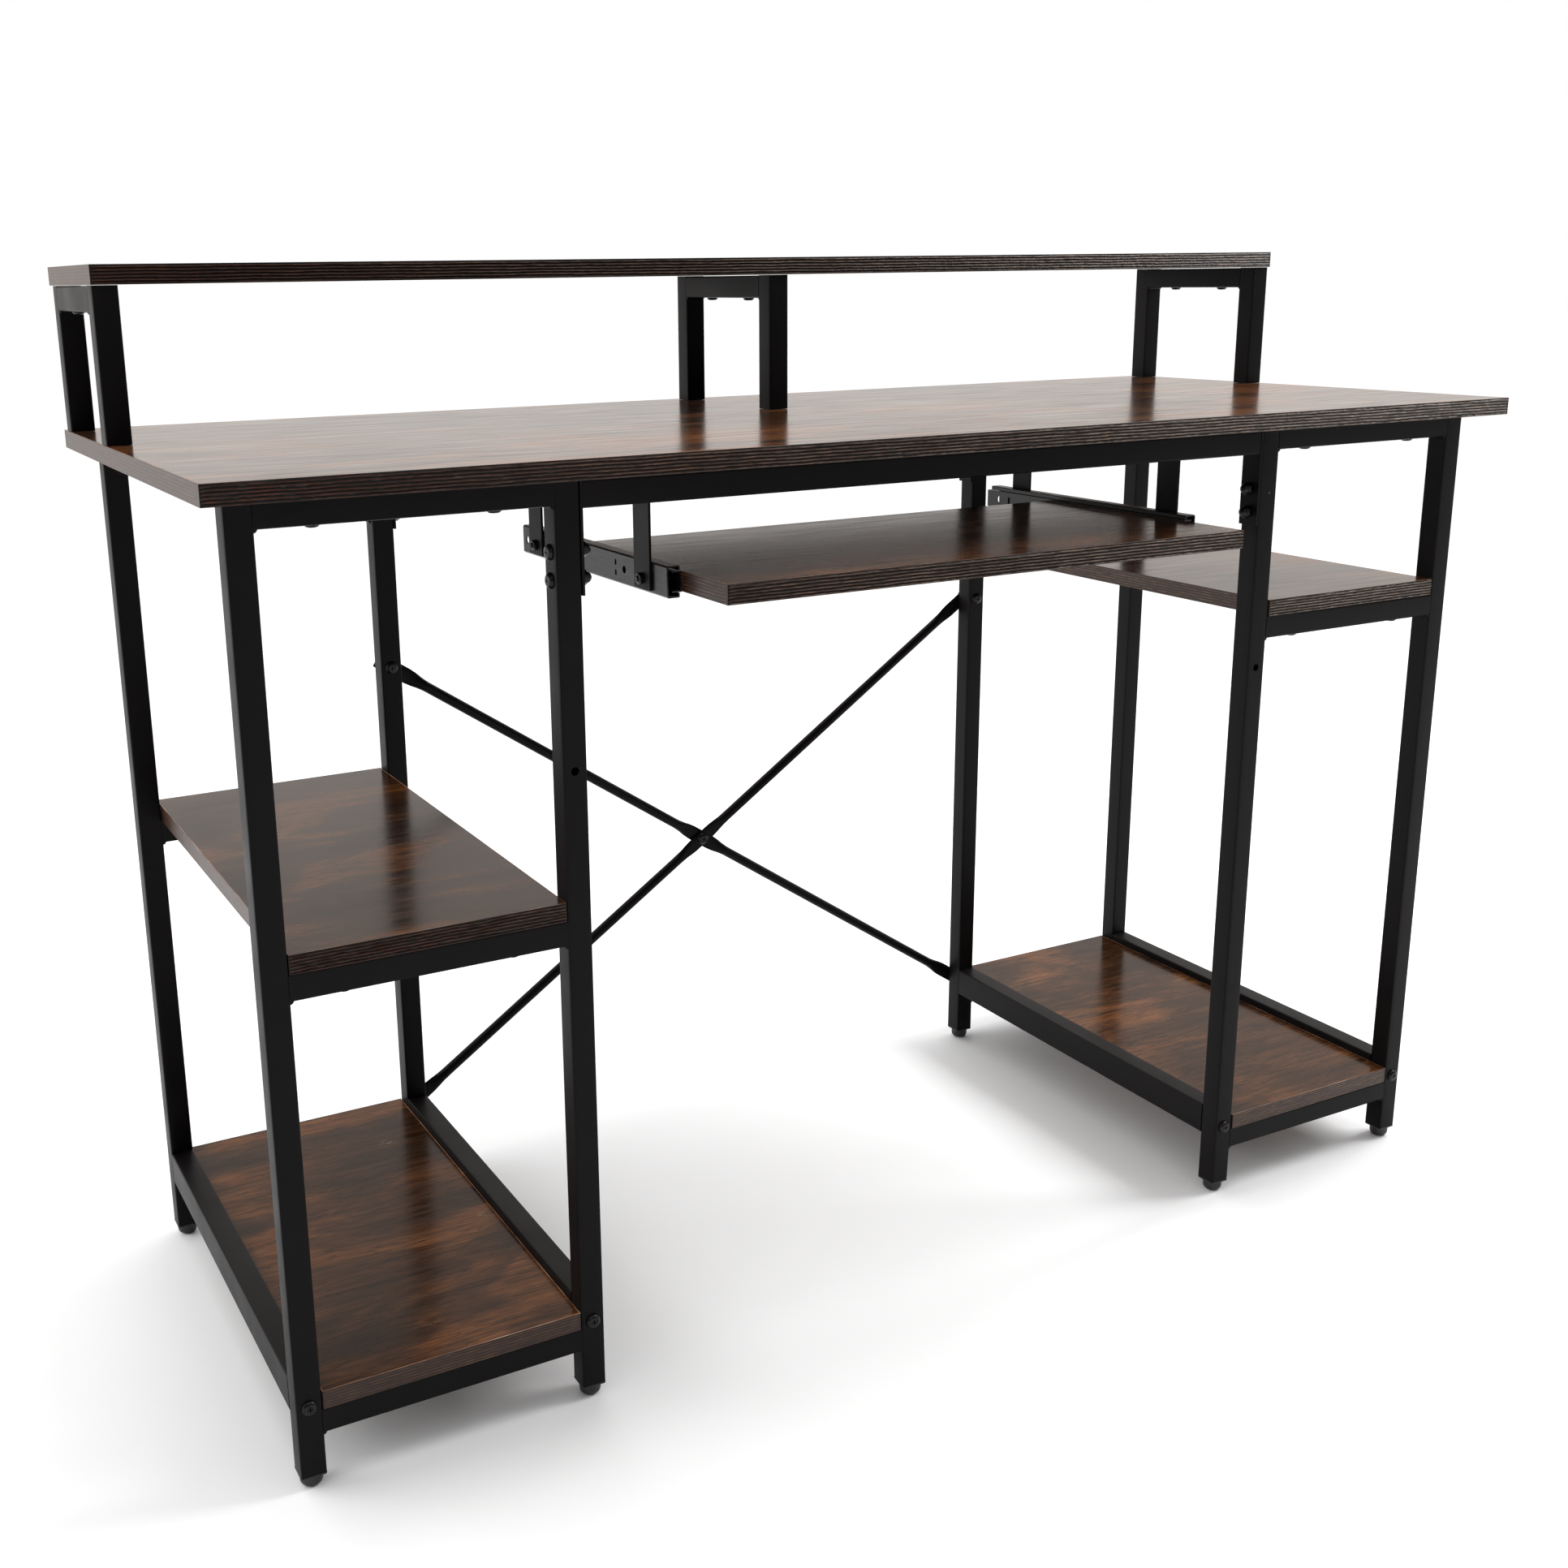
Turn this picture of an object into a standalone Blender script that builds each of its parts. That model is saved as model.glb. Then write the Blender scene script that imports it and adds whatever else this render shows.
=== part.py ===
"""Computer desk with a monitor shelf, two shelf pedestals and a keyboard tray on ball-bearing slides.

Metres, +Z up, X along the desk, -Y towards the person sitting at it. The origin is on the floor,
at the middle of the desk's outline with the tray pushed in.
"""

import math

import bmesh
import bpy
from mathutils import Matrix, Vector

# Boards
DESK_LENGTH = 1.200
DESK_DEPTH = 0.500
DESK_HEIGHT = 0.758  # floor to the desktop's top
BOARD = 0.015
MONITOR_SHELF_DEPTH = 0.195
PEDESTAL_BOARD_CLEARANCE = 0.001  # at each side of a pedestal's boards

# Steel tube
TUBE = 0.020
TUBE_WALL = 0.0012
TUBE_CORNER = 0.0018
SIDE_RAIL_HEIGHT = 0.030
SIDE_RAIL_CAP = 0.0025

# Pedestals
END_INSET = 0.020  # desktop's end to the outer legs
FRAME_INSET = 0.032  # desktop's front and back edges to the legs
PEDESTAL_WIDTH = 0.252
FOOT_HEIGHT = 0.012  # floor to the bottom of a leg
FOOT_PLUG = 0.012  # how far a foot's plug goes up into the leg
FOOT_FLAT = 0.004  # radius of the foot's flat underside
BOTTOM_RAIL_HEIGHT = 0.0455  # floor to the underside of a bottom rail
LEFT_SHELF_RAIL_HEIGHT = 0.392
RIGHT_SHELF_RAIL_DROP = 0.190  # desktop's underside to the underside of the right shelf's rail
SIDE_RAIL_BASE = 0.0585  # floor to the underside of a side rail
SIDE_BOLT_HEIGHT = 0.0705
BRACE_BOLT_HEIGHT = 0.5275
BOARD_SCREW_SPACING = 0.130  # between the two screws that go up through a rail

# Rails between the pedestals
MIDDLE_RAIL_DROP = 0.0035  # below the desktop's underside
END_PLATE = 0.002
END_PLATE_HEIGHT = 0.0825
PLATE_BOLT_EDGE = 0.0115  # plate's lower end to the lower bolt
PLATE_BOLT_SPACING = 0.0205

# Risers under the monitor shelf
RISER_HEIGHT = 0.120
RISER_DEPTH = 0.180
RISER_INSET = 0.0  # at the desktop's ends
RISER_SETBACK = 0.002  # behind the monitor shelf's front edge
RISER_SCREW_SPACING = 0.070

# Cross brace
BRACE_RADIUS = 0.005
BRACE_WALL = 0.0009
BRACE_FLAT = 0.0028  # thickness where the tube is pressed flat
BRACE_FLAT_WIDTH = 0.0148
BRACE_END_FLAT = 0.026  # bolt to the end of the flat stretch
BRACE_CENTRE_FLAT = 0.013
BRACE_BLEND = 0.022  # length over which flat turns to round
BRACE_TIP = 0.0085  # bolt to the tube's very end

# Keyboard tray and its slides
TRAY_LENGTH = 0.490
TRAY_DEPTH = 0.247
TRAY_REACH = 0.034  # pushed in, the tray stands this far out of the desktop
TRAY_DROP = 0.076  # desktop's underside to the tray's top
SLIDE_HEIGHT = 0.024
SLIDE_THICKNESS = 0.0127
SLIDE_SHEET = 0.0012
SLIDE_LENGTH = 0.272
SLIDE_SETBACK = 0.036  # desktop's front edge to the slides' front ends
SLIDE_DROP = 0.0075  # tray's top to the middle of the slides
SLIDE_FLANGE = 0.0107
SLIDE_LIP = 0.0023
INNER_HEIGHT = 0.016
INNER_FLANGE = 0.0081
INNER_PROUD = 0.004  # inner member's rear end behind the outer one's
CAGE_LENGTH = 0.090
CAGE_SETBACK = 0.092  # slides' front ends to the cage's
CAGE_SHEET = 0.0008
BALL_RADIUS = 0.00135
BALL_SPACING = 0.014
BALLS_PER_ROW = 6
OUTER_SMALL_HOLE = 0.0032  # radii of the holes in the slides' webs
OUTER_REAR_HOLE = 0.0034
INNER_REAR_HOLE = 0.0038
TRAY_SCREW_HOLE = 0.002
SMALL_HOLE_PLACE = 0.035  # behind the middle of the front strap
TWIN_SLOT_PLACE = 0.050
TWIN_SLOT_SPREAD = 0.004
TWIN_SLOT = (0.0014, 0.0022)  # half sizes, along the slide and up
REAR_HOLE_EDGE = 0.009
INNER_HOLE_EDGE = 0.0145
INNER_SLOT_EDGE = 0.030
INNER_SLOT = (0.0017, 0.0035)
TRAY_SCREW_EDGES = (0.020, 0.018)  # from the slide's front end and the tray's back

# Straps that hang the slides
STRAP = 0.002
STRAP_WIDTH = 0.026
STRAP_FLANGE = 0.024
STRAP_SCREW_HOLE = 0.002
STRAP_FROM_FRONT = 0.037  # slide's front end to the middle of a front strap
STRAP_FROM_REAR = 0.032  # slide's rear end to the middle of a rear strap
STRAP_END_DROP = 0.0095  # middle of the slides to the lower end of a strap
HANGER_BOLT_DROP = 0.0015  # middle of the slides to the hanger bolts

# Fasteners
CLEARANCE = 0.0003  # between faces that touch
M6 = 0.003  # radii
M5 = 0.0025
PAN_HEAD_RADIUS = 0.0060
PAN_HEAD_HEIGHT = 0.0028
LEG_BOLT_GRIP = 0.010  # how far a leg bolt goes into its side rail
M6_NUT_WIDTH = 0.010
M6_NUT_HEIGHT = 0.005
CAP_NUT_HEIGHT = 0.0055  # its hexagon, below the dome
CAP_NUT_DOME = 0.0045
M5_NUT_WIDTH = 0.008
M5_NUT_HEIGHT = 0.004
FLAT_HEAD_RADIUS = 0.0045
FLAT_HEAD_HEIGHT = 0.0009
HANGER_BOLT_REACH = 0.0075  # past the strap
NUT_REACH = 0.006  # how far a bolt goes into its nut
CAP_NUT_REACH = 0.008

# Places that follow from the sizes
LEFT, RIGHT = -1, 1
DESK_FRONT = -(DESK_DEPTH + TRAY_REACH) / 2 + TRAY_REACH
DESK_BACK = DESK_FRONT + DESK_DEPTH
UNDERSIDE = DESK_HEIGHT - BOARD
LEG_TOP = UNDERSIDE - CLEARANCE
RIGHT_SHELF_RAIL_HEIGHT = UNDERSIDE - RIGHT_SHELF_RAIL_DROP
FRONT_LEG_FACE = DESK_FRONT + FRAME_INSET
REAR_LEG_FACE = DESK_BACK - FRAME_INSET
PEDESTAL_OUTER = DESK_LENGTH / 2 - END_INSET
PEDESTAL_INNER = PEDESTAL_OUTER - PEDESTAL_WIDTH
PEDESTAL_MIDDLE = (PEDESTAL_OUTER + PEDESTAL_INNER) / 2
INNER_LEG_MIDDLE = PEDESTAL_INNER + TUBE / 2
MIDDLE_RAIL_TOP = UNDERSIDE - MIDDLE_RAIL_DROP
PLATE_BOTTOM = MIDDLE_RAIL_TOP - END_PLATE_HEIGHT
PLATE_BOLT_HEIGHTS = [PLATE_BOTTOM + PLATE_BOLT_EDGE + step * PLATE_BOLT_SPACING for step in (0, 1)]
TRAY_FRONT = DESK_FRONT - TRAY_REACH
TRAY_TOP = UNDERSIDE - TRAY_DROP
SLIDE_FRONT = DESK_FRONT + SLIDE_SETBACK
SLIDE_REAR = SLIDE_FRONT + SLIDE_LENGTH
SLIDE_MIDDLE_HEIGHT = TRAY_TOP - SLIDE_DROP
INNER_LENGTH = SLIDE_LENGTH + INNER_PROUD
SLIDE_OUTER_FACE = TRAY_LENGTH / 2 + SLIDE_THICKNESS
STRAP_PLACES = {"front": SLIDE_FRONT + STRAP_FROM_FRONT, "rear": SLIDE_REAR - STRAP_FROM_REAR}
STRAP_END_HEIGHT = SLIDE_MIDDLE_HEIGHT - STRAP_END_DROP
HANGER_BOLT_HEIGHT = SLIDE_MIDDLE_HEIGHT - HANGER_BOLT_DROP
SHELF_FRONT = DESK_BACK - MONITOR_SHELF_DEPTH
SHELF_UNDERSIDE = DESK_HEIGHT + RISER_HEIGHT


# Scene, materials and basic shapes


def clear_scene():
    for obj in list(bpy.data.objects):
        bpy.data.objects.remove(obj)


def new_collection(name):
    collection = bpy.data.collections.new(name)
    bpy.context.scene.collection.children.link(collection)
    return collection


def linear(channel):
    return channel / 12.92 if channel <= 0.04045 else ((channel + 0.055) / 1.055) ** 2.4


def new_material(name, hex_colour, roughness, metallic=0.0):
    material = bpy.data.materials.new(name)
    material.use_nodes = True
    shader = material.node_tree.nodes["Principled BSDF"]
    channels = [int(hex_colour[i : i + 2], 16) / 255 for i in (1, 3, 5)]
    shader.inputs["Base Color"].default_value = (*map(linear, channels), 1.0)
    shader.inputs["Roughness"].default_value = roughness
    shader.inputs["Metallic"].default_value = metallic
    return material


def place(name, mesh, material, location=(0, 0, 0), rotation=None):
    """An object in the desk's collection, at this place and turn."""
    obj = bpy.data.objects.new(name, mesh)
    obj.location = location
    if rotation is not None:
        obj.rotation_mode = "QUATERNION"
        obj.rotation_quaternion = rotation
    mesh.materials.clear()
    mesh.materials.append(material)
    desk.objects.link(obj)
    return obj


def finished_mesh(name, shape):
    mesh = bpy.data.meshes.new(name)
    shape.to_mesh(mesh)
    shape.free()
    return mesh


def bar(name, low, high, material, along=None, corner=TUBE_CORNER):
    """A box between two corners. Its edges along one axis are rounded where an axis is given."""
    low, high = Vector(low), Vector(high)
    shape = bmesh.new()
    bmesh.ops.create_cube(shape, size=1.0, matrix=Matrix.Diagonal((*(high - low), 1.0)))
    if along is not None:
        edges = [
            edge
            for edge in shape.edges
            if abs((edge.verts[0].co - edge.verts[1].co).normalized()["XYZ".index(along)]) > 0.9
        ]
        bmesh.ops.bevel(shape, geom=edges, offset=corner, segments=2, profile=0.5, affect="EDGES")
    return place(name, finished_mesh(name, shape), material, (low + high) / 2)


def turn_to(direction):
    return Vector(direction).to_track_quat("Z", "Y")


def rod(name, start, end, radius, material, sides=10):
    start, end = Vector(start), Vector(end)
    shape = bmesh.new()
    bmesh.ops.create_cone(
        shape,
        cap_ends=True,
        segments=sides,
        radius1=radius,
        radius2=radius,
        depth=(end - start).length,
    )
    return place(name, finished_mesh(name, shape), material, (start + end) / 2, turn_to(end - start))


def turned(name, profile, material, location, direction=(0, 0, 1), sides=12):
    """A turned solid. The profile's (radius, height) points run from the top of its axis down."""
    shape = bmesh.new()
    points = [shape.verts.new((radius, 0.0, height)) for radius, height in profile]
    for upper, lower in zip(points, points[1:]):
        shape.edges.new((upper, lower))
    obj = place(name, finished_mesh(name, shape), material, location, turn_to(direction))
    screw = obj.modifiers.new("Turn", "SCREW")
    screw.steps = screw.render_steps = sides
    screw.use_merge_vertices = True
    screw.merge_threshold = 0.00001
    return obj


def extruded(name, points, thickness, material, location, rotation):
    """A flat outline of (x, y) points, given a thickness along its own Z."""
    curve = bpy.data.curves.new(name, "CURVE")
    curve.dimensions = "2D"
    curve.fill_mode = "BOTH"
    curve.extrude = thickness / 2
    spline = curve.splines.new("POLY")
    spline.points.add(len(points) - 1)
    for point, (x, y) in zip(spline.points, points):
        point.co = (x, y, 0, 1)
    spline.use_cyclic_u = True
    guide = bpy.data.objects.new(name + "_outline", curve)
    desk.objects.link(guide)
    bpy.context.view_layer.update()
    evaluated = guide.evaluated_get(bpy.context.evaluated_depsgraph_get())
    mesh = bpy.data.meshes.new_from_object(evaluated)
    bpy.data.objects.remove(guide)
    shape = bmesh.new()
    shape.from_mesh(mesh)
    bmesh.ops.remove_doubles(shape, verts=shape.verts, dist=0.000001)
    bmesh.ops.recalc_face_normals(shape, faces=shape.faces)
    return place(name, finished_mesh(name, shape), material, location, rotation)


def combine(target, tool, operation):
    """A Boolean with a helper, which then leaves the desk's collection."""
    modifier = target.modifiers.new(tool.name, "BOOLEAN")
    modifier.operation = operation
    modifier.object = tool
    tool.hide_render = True
    tool.display_type = "WIRE"
    desk.objects.unlink(tool)
    helpers.objects.link(tool)


def weld(target, tool):
    combine(target, tool, "UNION")


def cut(target, tool):
    combine(target, tool, "DIFFERENCE")


def drill(target, middle, axis, length, radius, sides=8):
    """A round hole through one wall or more, centred on a point."""
    half = Vector([length / 2 if letter == axis else 0.0 for letter in "XYZ"])
    middle = Vector(middle)
    name = f"{target.name}_hole_{len(target.modifiers)}"
    cut(target, rod(name, middle - half, middle + half, radius, target.data.materials[0], sides))


def hollow(target, low, high, along):
    """The space inside a tube, between two corners."""
    name = f"{target.name}_bore_{len(target.modifiers)}"
    inner_corner = TUBE_CORNER - TUBE_WALL
    cut(target, bar(name, low, high, target.data.materials[0], along, inner_corner))


def sides_of(side, inner, outer):
    """The low and high X between two distances from the desk's middle, on one side of it."""
    return sorted((side * inner, side * outer))


# Boards


def board(name, x_range, y_range, top, material):
    low = (x_range[0], y_range[0], top - BOARD)
    high = (x_range[1], y_range[1], top)
    return bar(name, low, high, material)


def rail_top(rail_height):
    return rail_height + TUBE


def build_boards():
    half = DESK_LENGTH / 2
    board("desktop", (-half, half), (DESK_FRONT, DESK_BACK), DESK_HEIGHT, wood)
    shelf_top = SHELF_UNDERSIDE + BOARD
    board("monitor_shelf", (-half, half), (SHELF_FRONT, DESK_BACK), shelf_top, wood)
    margin = TUBE + PEDESTAL_BOARD_CLEARANCE
    for side, word, shelf_rail in (
        (LEFT, "left", LEFT_SHELF_RAIL_HEIGHT),
        (RIGHT, "right", RIGHT_SHELF_RAIL_HEIGHT),
    ):
        x_range = sides_of(side, PEDESTAL_INNER + margin, PEDESTAL_OUTER - margin)
        y_range = (FRONT_LEG_FACE, REAR_LEG_FACE)
        for level, rail in (("bottom", BOTTOM_RAIL_HEIGHT), ("middle", shelf_rail)):
            top = rail_top(rail) + CLEARANCE + BOARD
            board(f"{level}_shelf_{word}", x_range, y_range, top, wood)


# Welded frames


def upright(name, x_low, y_low, z_low, z_high):
    return bar(name, (x_low, y_low, z_low), (x_low + TUBE, y_low + TUBE, z_high), steel, "Z")


def upright_bore(target, x_low, y_low, z_low, z_high):
    low = (x_low + TUBE_WALL, y_low + TUBE_WALL, z_low)
    high = (x_low + TUBE - TUBE_WALL, y_low + TUBE - TUBE_WALL, z_high)
    hollow(target, low, high, "Z")


def ladder_frame(name, side, y_low, shelf_rail):
    """Two legs joined by a top, a shelf and a bottom rail. Front and rear frames are the same part."""
    outer_x, inner_x = [
        sides_of(side, *ends)[0]
        for ends in ((PEDESTAL_OUTER - TUBE, PEDESTAL_OUTER), (PEDESTAL_INNER, PEDESTAL_INNER + TUBE))
    ]
    y_middle = y_low + TUBE / 2
    frame = upright(name, outer_x, y_low, FOOT_HEIGHT, LEG_TOP)
    weld(frame, upright(name + "_inner_leg", inner_x, y_low, FOOT_HEIGHT, LEG_TOP))
    joint = TUBE_WALL / 2  # a rail's end goes this far into a leg's wall
    rail_x = (min(outer_x, inner_x) + TUBE, max(outer_x, inner_x))
    rail_heights = (LEG_TOP - CLEARANCE - TUBE, shelf_rail, BOTTOM_RAIL_HEIGHT)
    for number, z_low in enumerate(rail_heights):
        low = (rail_x[0] - joint, y_low, z_low)
        high = (rail_x[1] + joint, y_low + TUBE, z_low + TUBE)
        weld(frame, bar(f"{name}_rail_{number}", low, high, steel, "X"))
    for x_low in (outer_x, inner_x):
        upright_bore(frame, x_low, y_low, FOOT_HEIGHT - 0.001, LEG_TOP + 0.001)
    for z_low in rail_heights:
        low = (rail_x[0] + joint, y_low + TUBE_WALL, z_low + TUBE_WALL)
        high = (rail_x[1] - joint, y_low + TUBE - TUBE_WALL, z_low + TUBE - TUBE_WALL)
        hollow(frame, low, high, "X")
        for way in (-1, 1):
            x = side * PEDESTAL_MIDDLE + way * BOARD_SCREW_SPACING / 2
            drill(frame, (x, y_middle, z_low + TUBE / 2), "Z", TUBE * 1.5, M5)
    through = TUBE * 1.5
    for x_low in (outer_x, inner_x):
        drill(frame, (x_low + TUBE / 2, y_middle, SIDE_BOLT_HEIGHT), "Y", through, M6 + CLEARANCE)
    inner_middle = (inner_x + TUBE / 2, y_middle)
    drill(frame, (*inner_middle, BRACE_BOLT_HEIGHT), "Y", through, M6 + CLEARANCE, sides=16)
    for z in PLATE_BOLT_HEIGHTS:
        drill(frame, (*inner_middle, z), "X", through, M6 + CLEARANCE)


def side_rail(name, x_low):
    """A taller tube between a front and a rear leg, closed at each end by a tapped cap."""
    y_range = (FRONT_LEG_FACE + TUBE + CLEARANCE, REAR_LEG_FACE - TUBE - CLEARANCE)
    z_low, z_high = SIDE_RAIL_BASE, SIDE_RAIL_BASE + SIDE_RAIL_HEIGHT
    rail = bar(name, (x_low, y_range[0], z_low), (x_low + TUBE, y_range[1], z_high), steel, "Y")
    low = (x_low + TUBE_WALL, y_range[0] + SIDE_RAIL_CAP, z_low + TUBE_WALL)
    high = (x_low + TUBE - TUBE_WALL, y_range[1] - SIDE_RAIL_CAP, z_high - TUBE_WALL)
    hollow(rail, low, high, "Y")
    for y in y_range:
        middle = (x_low + TUBE / 2, y, SIDE_BOLT_HEIGHT)
        drill(rail, middle, "Y", SIDE_RAIL_CAP * 3, M6 + CLEARANCE)


def middle_rail(name, y_low):
    """The rail between the pedestals, with a plate at each end that is bolted to the inner leg."""
    reach = PEDESTAL_INNER - CLEARANCE
    z_low = MIDDLE_RAIL_TOP - TUBE
    joint = END_PLATE / 2
    rail_end = reach - joint
    y_middle = y_low + TUBE / 2
    rail = bar(name, (-rail_end, y_low, z_low), (rail_end, y_low + TUBE, MIDDLE_RAIL_TOP), steel, "X")
    for side, word in ((LEFT, "left"), (RIGHT, "right")):
        x_low, x_high = sides_of(side, reach - END_PLATE, reach)
        edge = CLEARANCE  # the plate stands this far past the rail's faces
        low = (x_low, y_low - edge, PLATE_BOTTOM)
        high = (x_high, y_low + TUBE + edge, MIDDLE_RAIL_TOP + edge)
        weld(rail, bar(f"{name}_plate_{word}", low, high, steel))
    bore_end = rail_end - END_PLATE
    low = (-bore_end, y_low + TUBE_WALL, z_low + TUBE_WALL)
    high = (bore_end, y_low + TUBE - TUBE_WALL, MIDDLE_RAIL_TOP - TUBE_WALL)
    hollow(rail, low, high, "X")
    for side in (LEFT, RIGHT):
        vent = (side * reach, y_middle, z_low + TUBE / 2)
        drill(rail, vent, "X", END_PLATE * 6, M5)
        for z in PLATE_BOLT_HEIGHTS:
            drill(rail, (side * reach, y_middle, z), "X", END_PLATE * 4, M6 + CLEARANCE)


def riser(name, x_low):
    """An upside-down U of square tube that carries the monitor shelf."""
    y_front = SHELF_FRONT + RISER_SETBACK
    y_back = y_front + RISER_DEPTH
    z_low, z_high = DESK_HEIGHT + CLEARANCE, SHELF_UNDERSIDE - CLEARANCE
    leg_places = (y_front, y_back - TUBE)
    frame = upright(name, x_low, leg_places[0], z_low, z_high)
    weld(frame, upright(name + "_rear_leg", x_low, leg_places[1], z_low, z_high))
    joint = TUBE_WALL / 2
    bar_top = z_high - CLEARANCE
    bar_ends = (leg_places[0] + TUBE, leg_places[1])
    low = (x_low, bar_ends[0] - joint, bar_top - TUBE)
    high = (x_low + TUBE, bar_ends[1] + joint, bar_top)
    weld(frame, bar(name + "_crossbar", low, high, steel, "Y"))
    for y_low in leg_places:
        upright_bore(frame, x_low, y_low, z_low - 0.001, z_high - TUBE_WALL)
    low = (x_low + TUBE_WALL, bar_ends[0] + joint, bar_top - TUBE + TUBE_WALL)
    high = (x_low + TUBE - TUBE_WALL, bar_ends[1] - joint, bar_top - TUBE_WALL)
    hollow(frame, low, high, "Y")
    for way in (-1, 1):
        y = (y_front + y_back) / 2 + way * RISER_SCREW_SPACING / 2
        drill(frame, (x_low + TUBE / 2, y, bar_top - TUBE / 2), "Z", TUBE * 1.5, M5)


def build_frames():
    rear_y = REAR_LEG_FACE - TUBE
    for side, word, shelf_rail in (
        (LEFT, "left", LEFT_SHELF_RAIL_HEIGHT),
        (RIGHT, "right", RIGHT_SHELF_RAIL_HEIGHT),
    ):
        ladder_frame(f"front_frame_{word}", side, FRONT_LEG_FACE, shelf_rail)
        ladder_frame(f"rear_frame_{word}", side, rear_y, shelf_rail)
        for which, distance in (("outer", PEDESTAL_OUTER - TUBE), ("inner", PEDESTAL_INNER)):
            x_low = sides_of(side, distance, distance + TUBE)[0]
            side_rail(f"side_rail_{word}_{which}", x_low)
    middle_rail("middle_rail_front", FRONT_LEG_FACE)
    middle_rail("middle_rail_rear", rear_y)
    riser_reach = DESK_LENGTH / 2 - RISER_INSET
    riser("riser_left", -riser_reach)
    riser("riser_middle", -TUBE / 2)
    riser("riser_right", riser_reach - TUBE)


def build_feet():
    """Domed plastic glides, each on a plug pushed into the end of a leg."""
    plug = TUBE / 2 - TUBE_WALL - 0.0007
    dome = TUBE / 2 - CLEARANCE
    dome_height = FOOT_HEIGHT - 0.002
    shoulder = FOOT_HEIGHT - CLEARANCE
    steps = 4
    curve = []
    for step in range(steps + 1):
        angle = math.pi / 2 * step / steps
        radius = FOOT_FLAT + (dome - FOOT_FLAT) * math.cos(angle)
        curve.append((radius, dome_height * (1 - math.sin(angle))))
    plug_top = FOOT_HEIGHT + FOOT_PLUG
    profile = [(0.0, plug_top), (plug, plug_top), (plug, shoulder), (dome, shoulder)]
    profile += [*curve, (0.0, 0.0)]
    leg_places = {"outer": PEDESTAL_OUTER - TUBE / 2, "inner": INNER_LEG_MIDDLE}
    rows = {"front": FRONT_LEG_FACE + TUBE / 2, "rear": REAR_LEG_FACE - TUBE / 2}
    for side, word in ((LEFT, "left"), (RIGHT, "right")):
        for which, x in leg_places.items():
            for row, y in rows.items():
                turned(f"foot_{row}_{word}_{which}", profile, plastic, (side * x, y, 0.0))


# Cross brace


def brace_section(distance, length, nest):
    """Half thickness, half width and sideways place of a brace, at a distance from its lower bolt."""
    to_end = min(distance, length - distance)
    to_centre = abs(distance - length / 2)
    end_round = min(max((to_end - BRACE_END_FLAT) / BRACE_BLEND, 0.0), 1.0)
    centre_round = min(max((to_centre - BRACE_CENTRE_FLAT) / BRACE_BLEND, 0.0), 1.0)
    roundness = min(end_round, centre_round)
    roundness = roundness * roundness * (3 - 2 * roundness)
    half_thickness = BRACE_FLAT / 2 + (BRACE_RADIUS - BRACE_FLAT / 2) * roundness
    half_width = BRACE_FLAT_WIDTH / 2 + (BRACE_RADIUS - BRACE_FLAT_WIDTH / 2) * roundness
    shift = nest * (BRACE_FLAT + CLEARANCE) / 2 * max(0.0, 1 - to_centre / (length / 4))
    return half_thickness, half_width, shift


def brace_stations(length):
    """Distances along a brace where its section changes, closest together where flat turns to round."""
    blend = [BRACE_BLEND * step / 3 for step in range(4)]
    end = [-BRACE_TIP] + [BRACE_END_FLAT + step for step in blend]
    centre = [length / 2 - BRACE_CENTRE_FLAT - step for step in reversed(blend)]
    half = end + [length / 4] + centre
    return half + [length - distance for distance in reversed(half)]


def brace(name, side, nest):
    """A round tube pressed flat at its ends and crossing. It rises from one rear leg to the other."""
    y = REAR_LEG_FACE + CLEARANCE + BRACE_FLAT / 2
    low = Vector((side * INNER_LEG_MIDDLE, y, SIDE_BOLT_HEIGHT))
    high = Vector((-side * INNER_LEG_MIDDLE, y, BRACE_BOLT_HEIGHT))
    along = (high - low).normalized()
    across = along.cross(Vector((0, 1, 0)))
    length = (high - low).length
    sides = 10
    shape = bmesh.new()
    walls = []
    for inset in (0.0, BRACE_WALL):
        rings = []
        for distance in brace_stations(length):
            half_thickness, half_width, shift = brace_section(distance, length, nest)
            middle = low + along * distance + Vector((0, shift, 0))
            ring = []
            for corner in range(sides):
                angle = 2 * math.pi * corner / sides
                out = Vector((0, 1, 0)) * (half_thickness - inset) * math.sin(angle)
                aside = across * (half_width - inset) * math.cos(angle)
                ring.append(shape.verts.new(middle + out + aside))
            rings.append(ring)
        walls.append(rings)
        for first, second in zip(rings, rings[1:]):
            for corner in range(sides):
                after = (corner + 1) % sides
                shape.faces.new((first[corner], first[after], second[after], second[corner]))
    for end in (0, -1):
        for corner in range(sides):
            after = (corner + 1) % sides
            outer, inner = walls[0][end], walls[1][end]
            shape.faces.new((outer[corner], outer[after], inner[after], inner[corner]))
    bmesh.ops.recalc_face_normals(shape, faces=shape.faces)
    tube = place(name, finished_mesh(name, shape), steel)
    for place_on_tube in (low, (low + high) / 2, high):
        drill(tube, place_on_tube, "Y", BRACE_RADIUS * 4, M6 + CLEARANCE)


# Slides and tray


def slide_turn(side):
    """Turns an outline's x towards the desk's middle, its y up and its thickness along the slide."""
    inward = Vector((-side, 0, 0))
    up = Vector((0, 0, 1))
    turn = Matrix((inward, up, inward.cross(up))).transposed()
    return turn.to_quaternion()


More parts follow.
